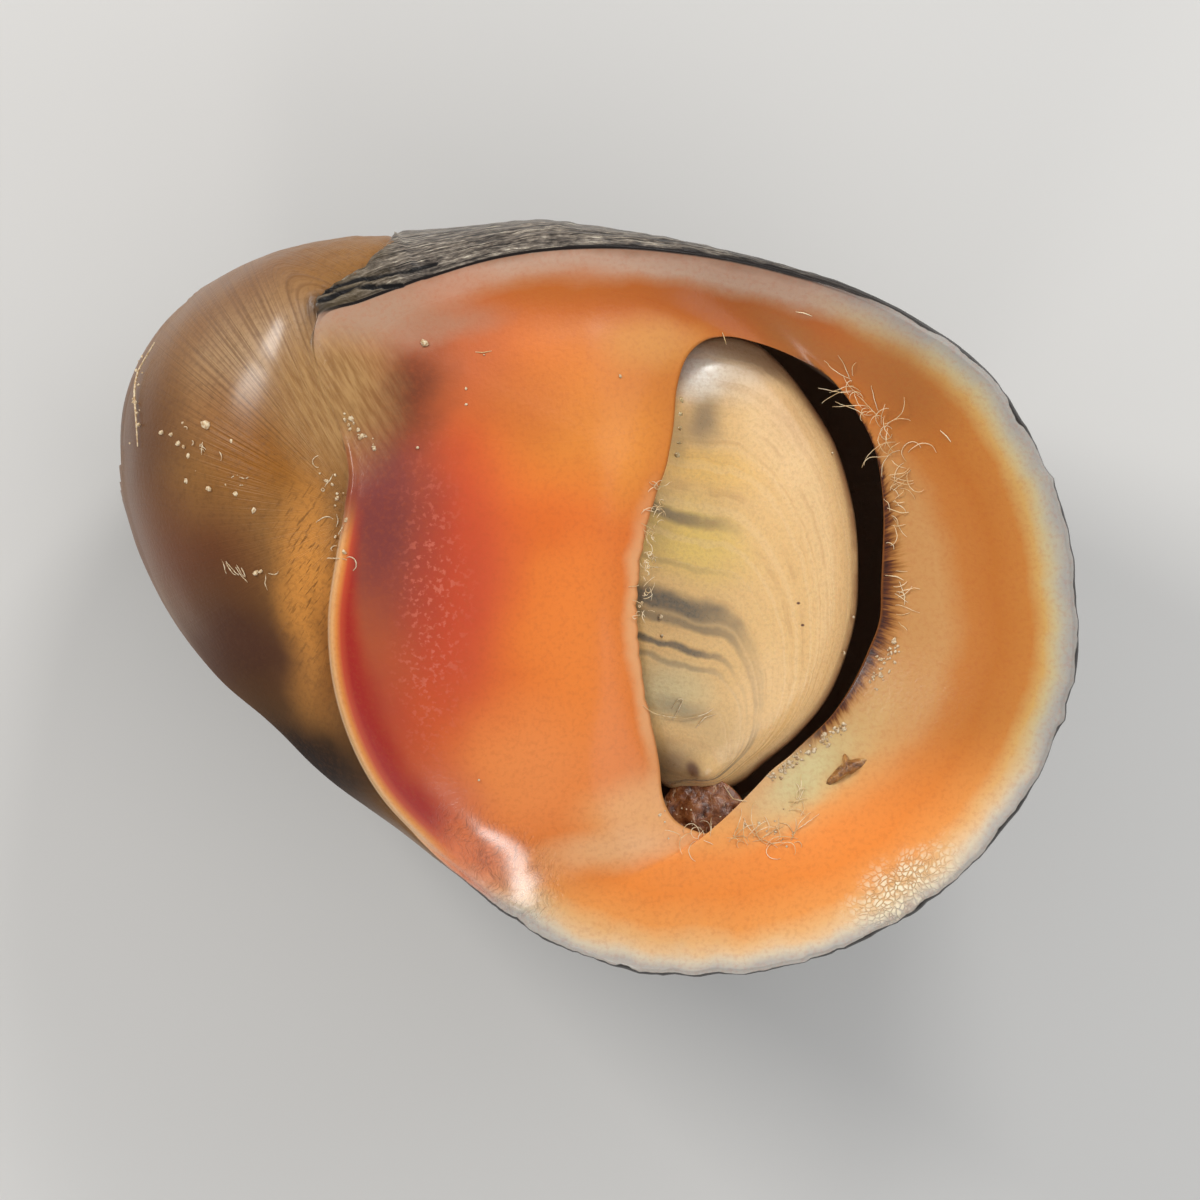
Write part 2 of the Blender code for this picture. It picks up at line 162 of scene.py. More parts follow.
def stretch(angle, starts, full, fades, ends):
    # 1 from full to fades, 0 before starts and after ends, and ease curves between
    return ease(starts, full, angle) * (1 - ease(fades, ends, angle))


def bump(x, centre, width):
    # bell curve: e to the minus squared distance from the centre, in widths
    return np.exp(-((x - centre) / width) ** 2)


def grain(points, size, seed):
    # smooth lumps from -1 to 1: seeded numbers at the corners of cubes of this size, blended with ease curves
    table = np.random.default_rng(seed).uniform(-1, 1, (64, 64, 64))
    place = np.asarray(points) / size + 1000
    cell = np.floor(place).astype(int)
    f = place - cell
    f = f * f * (3 - 2 * f)
    total = 0
    for dx in (0, 1):
        for dy in (0, 1):
            for dz in (0, 1):
                share = np.abs(1 - dx - f[..., 0]) * np.abs(1 - dy - f[..., 1]) * np.abs(1 - dz - f[..., 2])
                corner = (cell + (dx, dy, dz)) % 64
                total = total + share * table[corner[..., 0], corner[..., 1], corner[..., 2]]
    return total


def uneven(points, name):
    # one of the shell's named grains, in millimetres
    amount, size, seed = shellForm["grains"][name]
    return amount * grain(points, size, seed)


def besidePath(plan, path):
    # signed distance from a chain of straight pieces, above 0 on its right: the nearest piece decides
    points = np.array(path, float)
    start, step = points[:-1], np.diff(points, axis=0)
    away = plan[..., None, :] - start
    share = np.clip((away * step).sum(-1) / (step ** 2).sum(-1), 0, 1)
    gap = away - share[..., None] * step
    far = np.hypot(gap[..., 0], gap[..., 1])
    near = far.argmin(-1)[..., None]
    side = np.sign(gap[..., 0] * step[:, 1] - gap[..., 1] * step[:, 0])
    return np.take_along_axis(far * side, near, -1)[..., 0]


def newMesh(name, points, faces, fields=None):
    # an object whose mesh holds its place, in metres, with a number for each point in each field
    mesh = bpy.data.meshes.new(name)
    mesh.from_pydata((np.asarray(points) * mm).tolist(), [], faces)
    mesh.shade_smooth()
    for field, values in (fields or {}).items():
        mesh.attributes.new(field, "FLOAT", "POINT").data.foreach_set("value", values.astype(np.float32))
    piece = bpy.data.objects.new(name, mesh)
    bpy.context.scene.collection.objects.link(piece)
    return piece


def closedSkin(name, rows, firstTip, lastTip, fields=None, downwards=False):
    # a closed skin from rings of points: quads between neighbouring rings and a fan of triangles at each end.
    # Rings run from the underside outwards; downwards turns the faces of those that run from the top
    count, columns = rows.shape[:2]
    index = np.arange(count * columns).reshape(count, columns)
    beside = np.roll(index, -1, axis=1)
    quads = np.stack((index[:-1], beside[:-1], beside[1:], index[1:]), axis=-1).reshape(-1, 4)
    tip = np.full(columns, index.size)
    fans = np.concatenate((np.stack((tip, beside[0], index[0]), axis=-1),
                           np.stack((index[-1], beside[-1], tip + 1), axis=-1)))
    if downwards:
        quads, fans = quads[:, ::-1], fans[:, ::-1]
    points = np.concatenate((rows.reshape(-1, 3), [firstTip, lastTip]))
    flat = {name: np.concatenate((values.reshape(-1), [values[0].mean(), values[-1].mean()]))
            for name, values in (fields or {}).items()}
    return newMesh(name, points, quads.tolist() + fans.tolist(), flat)


def dress(piece, material, slot, *replaced):
    # material and body of a finished piece, and the nodes that it stands for; slot is not used
    piece.data.materials.append(material)
    if replaced:
        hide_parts(*replaced)
    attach(piece, "root")


def faceHeight(plan):
    # deck: a paraboloid; lip: a bowl that steepens inwards; an ease curve along X joins the two
    form = shellForm
    off = (plan - form["deckMiddle"]) ** 2
    deckTop = form["deckTop"] - off[..., 0] * form["deckFall"][0] - off[..., 1] * form["deckFall"][1]
    reach = np.linalg.norm((plan - form["mouthCentre"]) / form["lipReach"], axis=-1)
    lip = form["lipTop"] - form["lipDepth"] * np.maximum(1 - reach, 0) ** form["lipPower"]
    return deckTop + (lip - deckTop) * ease(*form["deckToLip"], plan[..., 0])


def spiralRelief(flat):
    # how far the back stands out on its flat map: at each turn of a logarithmic spiral it is lower just
    # inside and higher just outside, both fading with distance, on a low cone round the apex
    spiral = shellForm["suture"]
    away = flat - ringPoints(np.array(spiral["apexRadius"]), np.array(spiral["apexAngle"]))
    distance = np.maximum(np.linalg.norm(away, axis=-1), 1e-6)
    turned = np.mod(spiral["startAngle"] - np.degrees(np.arctan2(away[..., 1], away[..., 0])), 360)
    newest = spiral["start"] * np.exp(-spiral["tightness"] * np.radians(turned))
    turn = math.exp(spiral["tightness"] * 2 * math.pi)
    relief = 0.6 * bump(distance, 0, 4.5)
    for number in range(spiral["turns"]):
        suture = newest / turn ** number
        reach = (distance - suture) / suture
        groove = -spiral["depth"] * np.exp(np.minimum(reach, 0) / 0.10)
        shoulder = spiral["rise"] * np.exp(-np.maximum(reach, 0) / 0.2)
        fresh = ease(45, 90, turned) if number == 0 else 1.0
        relief = relief + np.where(reach < 0, groove, shoulder) * suture * fresh
    return relief, distance


def outerRows(angle, edge, outline):
    # back: from the rest spot to the outline along a superellipse, flaring with the fourth power of height;
    # edge: a quarter circle from the outline in to the face's edge; then every relief pushes it outwards
    form, rows = shellForm, shellForm["rows"]
    outlineHeight = around(form["outlineHeight"], angle)
    t = np.linspace(0, 1, rows["back"] + 1)[:, None]
    out, left = rounded(t, around(form["backFullness"], angle))
    flare = outline * (1 - around(form["bodyShare"], angle))
    start = ringPoints(np.full(len(angle), form["restRadius"]), angle, form["restCentre"])
    plan = start + (ringPoints(outline - flare, angle) - start) * out[..., None]
    plan = plan + ways(angle) * (flare * (1 - left) ** form["flarePower"])[..., None]
    back = lifted(plan, outlineHeight * (1 - left))
    t = 1 - (1 - np.linspace(0, 1, rows["edge"] + 1)[1:, None]) ** form["rowPower"]
    out, left = rounded(1 - t, 2.0)
    wrap = lifted(ringPoints(edge + (outline - edge) * out, angle),
                  outlineHeight + (around(form["faceEdgeHeight"], angle) - outlineHeight) * left)
    outer = np.concatenate((back, wrap))

    steps = np.linalg.norm(np.diff(outer, axis=0), axis=2)
    along = np.concatenate((np.zeros((1, len(angle))), np.cumsum(steps, axis=0))) + form["restRadius"]
    widest = along[rows["back"]]
    flat = ringPoints(np.where(along <= widest, along * outline / widest, outline + along - widest), angle)
    fromEdge = along[-1] - along                         # way back from the face's edge, along the skin
    relief, fromApex = spiralRelief(flat)
    past = np.linalg.norm(flat, axis=-1) - outline
    relief = relief - relief[rows["back"]] * np.exp(-(past / 2.5) ** 2)

    # the suture where it shows from the front: the last whorl stands up in a thick blunt step
    front = ease(*form["frontFrom"], outer[..., 2])
    beside = besidePath(outer[..., :2], form["sutureFront"]) + uneven(outer, "suture")
    middle, reach = form["sutureCorner"]
    corner = np.exp(-(np.linalg.norm(outer[..., :2] - middle, axis=-1) / reach) ** 4)
    step = ease(-0.05, 0.06, beside) * np.exp(-np.maximum(beside, 0) / form["stepFade"])
    step = form["lastWhorlStep"] * step - form["sutureGroove"] * bump(beside, -0.08, 0.10)
    relief = relief + front * corner * step * ease(0, 0.25, fromEdge)

    # laminae along the top of the lip, and the open cracks between them at its corner
    topLip = stretch(angle, *form["topLip"])
    lines = fromEdge + uneven(outer, "lines") + uneven(outer, "fineLines")
    for at in form["laminaLines"]:
        relief = relief - form["laminaDepth"] * bump(lines, at, 0.04) * topLip
    crack = np.min([np.abs(besidePath(outer[..., :2], path)) for path in form["cracks"]], axis=0)
    crack = crack + uneven(outer, "crack") + 5 * (1 - front)
    relief = relief - form["crackDepth"] * bump(crack, 0, form["crackWidth"])
    relief = relief + uneven(outer, "laminae") * topLip * ease(0.05, 0.2, fromEdge)
    relief = relief + uneven(outer, "skin") * ease(0.1, 0.6, fromEdge)
    relief = relief * ease(0.0, 1.5, outer[..., 2])
    outward = outer - (0, 0, form["chamberHeight"])
    outward = outward / np.linalg.norm(outward, axis=2, keepdims=True)
    edgePush = outward[-1] * relief[-1][:, None]
    return outer + outward * relief[..., None], fromEdge, beside, crack, fromApex, edgePush


def faceRows(angle, edge, edgePush):
    # straight ways in plan from the edge to the mouth, closer together near the edge; heights from
    # faceHeight, coming to the edge's own with a fading exponential; the deck's inner edge has blunt teeth
    form = shellForm
    v = (np.linspace(0, 1, form["rows"]["face"] + 1)[1:] ** form["rowPower"])[:, None]
    mouth = ringPoints(around(form["mouth"], angle), angle, form["mouthCentre"])
    edgePlan = ringPoints(edge, angle)
    across = np.linalg.norm(mouth - edgePlan, axis=1)
    line = lifted(ringPoints(np.full(len(angle), 4.0), angle), 0 * angle)
    turned = np.radians(angle) * 3.9 / form["toothSpacing"]
    jag = 0.5 * np.abs(np.sin(math.pi * turned + uneven(line, "toothPlace")))
    jag = (jag + uneven(line, "toothSize")) * stretch(angle, *form["toothed"])
    plan = edgePlan + (mouth - edgePlan) * v[..., None]
    plan = plan - ways(angle) * (form["teeth"] * jag * ease(0.94, 1.0, v))[..., None]
    loop = np.concatenate((edgePlan[::3], edgePlan[:1]))
    inward = np.array([np.abs(besidePath(row, loop)) for row in plan])
    inward = np.minimum(inward, v * across)
    margin = stretch(angle, *form["marginAt"])
    reach = form["rimBlend"][1] + (form["rimBlend"][0] - form["rimBlend"][1]) * margin
    miss = around(form["faceEdgeHeight"], angle) - faceHeight(edgePlan)
    height = faceHeight(plan) + miss * np.exp(-inward / reach)
    height = height + margin * (form["marginStep"] * ease(0, 0.12, inward) * np.exp(-inward / 1.5)
                                + form["marginBead"] * bump(inward, form["beadAt"], form["beadWidth"]))
    gutter = stretch(angle, *form["gutterAt"])
    height = height - form["lipGutter"] * bump(inward, 1.7, 0.8) * gutter
    face = lifted(plan, height + uneven(lifted(plan, height), "face") * ease(0.2, 1.0, inward))
    return face + edgePush * np.exp(-inward / 0.25)[..., None], inward, across * (1 - v), across


def innerRows(angle, face, outline):
    # throat: down the lip's wall, or round the deck's inner edge; chamber: superellipse quarters out to its
    # widest ring and back to its floor
    form, rows = shellForm, shellForm["rows"]
    deck = np.clip(around(form["deckShare"], angle), 0, 1)
    drop = form["throatDrop"] + (form["deckThickness"] - form["throatDrop"]) * deck
    t = np.linspace(0, 1, rows["under"] + 1)[1:, None]
    out = 0.05 * t + 0.55 * t ** 4 + 0 * deck
    throat = lifted(face[:, :2] + ways(angle) * out[..., None], face[:, 2] - drop * t)
    widest = ringPoints(outline * around(form["bodyShare"], angle) * form["chamberShare"], angle)
    t = np.linspace(0, 1, rows["chamber"] + 1)[1:, None]
    out, left = rounded(t, 2.4)
    last = throat[-1]
    under = lifted(last[:, :2] + (widest - last[:, :2]) * out[..., None],
                   form["chamberHeight"] + (last[:, 2] - form["chamberHeight"]) * left)
    out, left = rounded(t[::-1][1:], 2.3)
    centre = np.array(form["restCentre"])
    floor = lifted(centre + (widest - centre) * out[..., None],
                   form["chamberHeight"] - (form["chamberHeight"] - form["chamberFloor"]) * left)
    return np.concatenate((throat, under, floor))


def shellRows():
    # every ring of the shell, and the fields that its finish reads
    form = shellForm
    u = np.arange(form["columns"]) * 360 / form["columns"]
    angle = u - math.degrees(form["crowding"]) * np.sin(np.radians(u - form["crowdedAt"]))
    signed = (angle + 180) % 360 - 180
    rimLine = lifted(ways(angle) * 13, 0 * angle)
    openRim = stretch(signed, *form["openRim"])
    chips = uneven(rimLine, "chips") * uneven(rimLine, "chipped") + uneven(rimLine, "fineChips")
    chips = form["rimChips"] * chips
    chips = (chips + form["lipWave"] * uneven(rimLine, "wave")) * openRim
    edge = around(form["faceEdge"], angle) + chips
    outline = around(form["outline"], angle) + chips * 0.8

    outer, fromEdge, beside, crack, fromApex, edgePush = outerRows(angle, edge, outline)
    face, inward, toMouth, across = faceRows(angle, edge, edgePush)
    inner = innerRows(angle, face[-1], outline)
    inside = np.linalg.norm(np.diff(np.concatenate((face[-1:], inner)), axis=0), axis=2).cumsum(axis=0)

    # growth lines: a fan on the whorl under the deck, and lines along the lip towards the newest end
    off = outer[..., :2] - form["fanCentre"]
    fanWay = np.radians(np.degrees(np.arctan2(off[..., 1], off[..., 0])) % 360 - 120) * form["fanScale"]
    lipSide = 1 - stretch(angle, *form["fanAt"])
    growth = fanWay + (fromEdge + 2.0 - fanWay) * lipSide

    def whole(outside, onFace, within):
        # one field over all the rings, from its three stretches
        return np.concatenate([np.broadcast_to(part, rows.shape[:2]) for part, rows in
                               ((outside, outer), (onFace, face), (within, inner))])

    deckSide, topSide = (stretch(angle, *form[side]) for side in ("deckSide", "topSide"))
    fields = dict(glazeWay=whole(-fromEdge, inward, across + inside), sutureWay=whole(beside, 5, 5),
                  mouthWay=whole(across + fromEdge, toMouth, -inside), growth=whole(growth, 0, 0),
                  crackWay=whole(crack, 5, 5), apexWay=whole(fromApex, 9, 9),
                  deckSide=whole(deckSide, deckSide, deckSide), topSide=whole(topSide, topSide, topSide))
    return np.concatenate((outer, face, inner)), fields


shellPoints, shellFields = shellRows()
shell = closedSkin("shellSkin", shellPoints, (*shellForm["restCentre"], 0),
                   (*shellForm["restCentre"], shellForm["chamberFloor"]), shellFields)
print("shell:", len(shell.data.polygons), "faces")


# Shader helpers. Each puts its nodes into the tree that it is given.

def put(tree, kind, inputs=(), **settings):
    # one node, with its settings by name, and a value or a link for each input
    made = tree.nodes.new("ShaderNode" + kind)
    for name, value in settings.items():
        setattr(made, name, value)
    for place, value in dict(inputs).items():
        socket = made.inputs[place]
        if isinstance(value, bpy.types.NodeSocket):
            tree.links.new(value, socket)
        else:
            socket.default_value = value
    return made


def calc(tree, operation, *values):
    # one step of arithmetic
    return put(tree, "Math", enumerate(values), operation=operation).outputs[0]


def product(tree, *values):
    # all of the values multiplied
    total = values[0]
    for value in values[1:]:
        total = calc(tree, "MULTIPLY", total, value)
    return total


def waved(tree, value, noise, amount):
    # the value plus some of the noise
    return calc(tree, "MULTIPLY_ADD", noise, amount, value)


def less(tree, value):
    # one minus the value
    return calc(tree, "SUBTRACT", 1.0, value)


def larger(tree, first, second):
    # the larger of two values
    return calc(tree, "MAXIMUM", first, second)


def calcVector(tree, operation, first, second):
    # one step of arithmetic on two vectors
    return put(tree, "VectorMath", {0: first, 1: second}, operation=operation).outputs[0]


def wide(colour):
    # a colour of three parts with its alpha; anything else stays as it is
    return (*colour, 1) if isinstance(colour, tuple) and len(colour) == 3 else colour


def mixed(tree, share, first, second):
    # this share of the second colour over the first
    return put(tree, "Mix", {0: share, 6: wide(first), 7: wide(second)}, data_type="RGBA").outputs[2]


def eased(tree, value, low, high, lowTo=0.0, highTo=1.0):
    # from one number at low to another at high, along 3t^2 - 2t^3
    return put(tree, "MapRange", {"Value": value, "From Min": low, "From Max": high, "To Min": lowTo,
                                  "To Max": highTo}, interpolation_type="SMOOTHSTEP").outputs["Result"]


def ramp(tree, value, stops, span=1.0):
    # colours at places along the value; span is where the ramp ends
    made = put(tree, "ValToRGB", {"Fac": calc(tree, "DIVIDE", value, span)})
    line = made.color_ramp
    for number, (at, colour) in enumerate(stops):
        stop = line.elements[number] if number < 2 else line.elements.new(at / span)
        stop.position = at / span
        stop.color = wide(colour)
    return made.outputs["Color"]


def field(tree, name):
    # one of the numbers that the mesh keeps for each of its points
    return put(tree, "Attribute", attribute_name=name, attribute_type="GEOMETRY").outputs["Fac"]


def speckle(tree, place, size, detail=2.0, rough=0.5):
    # noise whose lumps are about this many millimetres across
    return put(tree, "TexNoise", {"Vector": place, "Scale": 1 / size, "Detail": detail,
                                  "Roughness": rough}).outputs["Fac"]


def lineNoise(tree, along, size, detail, rough):
    # the same along one number, which makes lines
    return put(tree, "TexNoise", {"W": along, "Scale": 1 / size, "Detail": detail, "Roughness": rough},
               noise_dimensions="1D").outputs["Fac"]


def drawnOut(tree, place, degrees, length, width):
    # the place turned and divided, so that noise on it runs along the given direction in plan
    return put(tree, "Mapping", {"Vector": place, "Rotation": (0, 0, math.radians(degrees)),
                                 "Scale": (length, width, 1)}, vector_type="TEXTURE").outputs[0]


def newGroup(name, result, **inputs):
    # an empty node group with its named sockets
    tree = bpy.data.node_groups.new(name, "ShaderNodeTree")
    for label, kind in inputs.items():
        tree.interface.new_socket(name=label.capitalize(), in_out="INPUT", socket_type="NodeSocket" + kind)
    for label, kind in result.items():
        tree.interface.new_socket(name=label, in_out="OUTPUT", socket_type="NodeSocket" + kind)
    return tree, tree.nodes.new("NodeGroupInput").outputs, tree.nodes.new("NodeGroupOutput").inputs


def makePlace():
    # the place in millimetres, and the same pushed about by soft noise so that no patch has a plain edge
    tree, given, result = newGroup("brokenPlace", dict(Place="Vector", Broken="Vector"), amount="Float",
                                   lump="Float")
    place = calcVector(tree, "MULTIPLY", put(tree, "TexCoord").outputs["Object"], (1 / mm, 1 / mm, 1 / mm))
    scale = calc(tree, "DIVIDE", 1.0, given["Lump"])
    noise = put(tree, "TexNoise", {"Vector": place, "Scale": scale, "Detail": 3.0}).outputs["Color"]
    push = put(tree, "VectorMath", {0: calcVector(tree, "SUBTRACT", noise, (0.5, 0.5, 0.5)),
                                    "Scale": given["Amount"]}, operation="SCALE").outputs[0]
    tree.links.new(place, result["Place"])
    tree.links.new(calcVector(tree, "ADD", place, push), result["Broken"])
    return tree


def makeSpot():
    # a soft oval seen from above: 1 in its middle, 0 at its edge, with the given part of it soft
    tree, given, result = newGroup("softSpot", dict(Mask="Float"), place="Vector", centre="Vector",
                                   size="Vector", turn="Vector", softness="Float", strength="Float")
    flat = calcVector(tree, "MULTIPLY", given["Place"], (1, 1, 0))
    moved = put(tree, "Mapping", {"Vector": flat, "Location": given["Centre"], "Rotation": given["Turn"],
                                  "Scale": given["Size"]}, vector_type="TEXTURE").outputs[0]
    length = put(tree, "VectorMath", {0: moved}, operation="LENGTH").outputs["Value"]
    mask = eased(tree, length, less(tree, given["Softness"]), 1.0, 1.0, 0.0)
    tree.links.new(calc(tree, "MULTIPLY", mask, given["Strength"]), result["Mask"])
    return tree


def makeDots():
    # noise eased from none at low to the most at high
    tree, given, result = newGroup("fineDots", dict(Mask="Float"), place="Vector", size="Float",
                                   detail="Float", rough="Float", low="Float", high="Float", most="Float")
    noise = put(tree, "TexNoise", {"Vector": given["Place"], "Detail": given["Detail"],
                                   "Roughness": given["Rough"],
                                   "Scale": calc(tree, "DIVIDE", 1.0, given["Size"])}).outputs["Fac"]
    tree.links.new(eased(tree, noise, given["Low"], given["High"], 0.0, given["Most"]), result["Mask"])
    return tree


groups = dict(place=makePlace(), spot=makeSpot(), dots=makeDots())


def grouped(tree, name, output="Mask", **inputs):
    # one of the groups, with its inputs given by their names
    made = put(tree, "Group", {key.capitalize(): value for key, value in inputs.items()},
               node_tree=groups[name])
    return made.outputs[output]


def places(tree, amount, lump):
    # the place as it is, and pushed about
    made = put(tree, "Group", {"Amount": amount, "Lump": lump}, node_tree=groups["place"])
    return made.outputs["Place"], made.outputs["Broken"]


def spotMask(tree, place, at, size, turn=0, soft=0.9, strength=1.0):
    # one soft oval
    return grouped(tree, "spot", place=place, centre=(*at, 0), size=(*size, 1),
                   turn=(0, 0, math.radians(turn)), softness=soft, strength=strength)


def dots(tree, place, noise, band, most=1.0):
    # dots of noise, given its size, detail and roughness, and the band over which it comes up
    return grouped(tree, "dots", place=place, size=noise[0], detail=noise[1], rough=noise[2], low=band[0],
                   high=band[1], most=most)


def dotted(tree, colour, place, noise, band, most, tone):
    # dots of a tone over a colour
    return mixed(tree, dots(tree, place, noise, band, most), colour, tone)


def painted(tree, colour, place, spots):
    # lays soft ovals of colour over a colour, one after another
    for at, size, turn, strength, tone in spots:
        colour = mixed(tree, spotMask(tree, place, at, size, turn, 0.9, strength), colour, tone)
    return colour


def newMaterial(name, roughness, coat=0.0, coatRoughness=0.1, subsurface=0.0):
    # a Principled finish with its plain values; light goes further in for red than for blue
    material = bpy.data.materials.new(name)
    material.use_nodes = True
    tree = material.node_tree
    shader = tree.nodes["Principled BSDF"]
    plain = {"Roughness": roughness, "Coat Weight": coat, "Coat Roughness": coatRoughness,
             "Subsurface Weight": subsurface, "Subsurface Radius": (0.6, 0.3, 0.15), "Subsurface Scale": mm}
    for label, value in plain.items():
        shader.inputs[label].default_value = value
    return material, tree, shader


def finished(tree, shader, colour, height, roughness=None):
    # colour, bump height in millimetres and, where it varies, roughness
    tree.links.new(colour, shader.inputs["Base Color"])
    made = put(tree, "Bump", {"Height": height, "Strength": 1.0, "Distance": mm})
    tree.links.new(made.outputs["Normal"], shader.inputs["Normal"])
    if roughness is not None:
        tree.links.new(roughness, shader.inputs["Roughness"])


# Colours are linear. A spot is (middle, half sizes, turn in degrees, strength, colour), in millimetres, and a
# mask is (middle, half sizes, turn, soft part, strength). What is "From" a pair of numbers comes up from the
# first to the second.

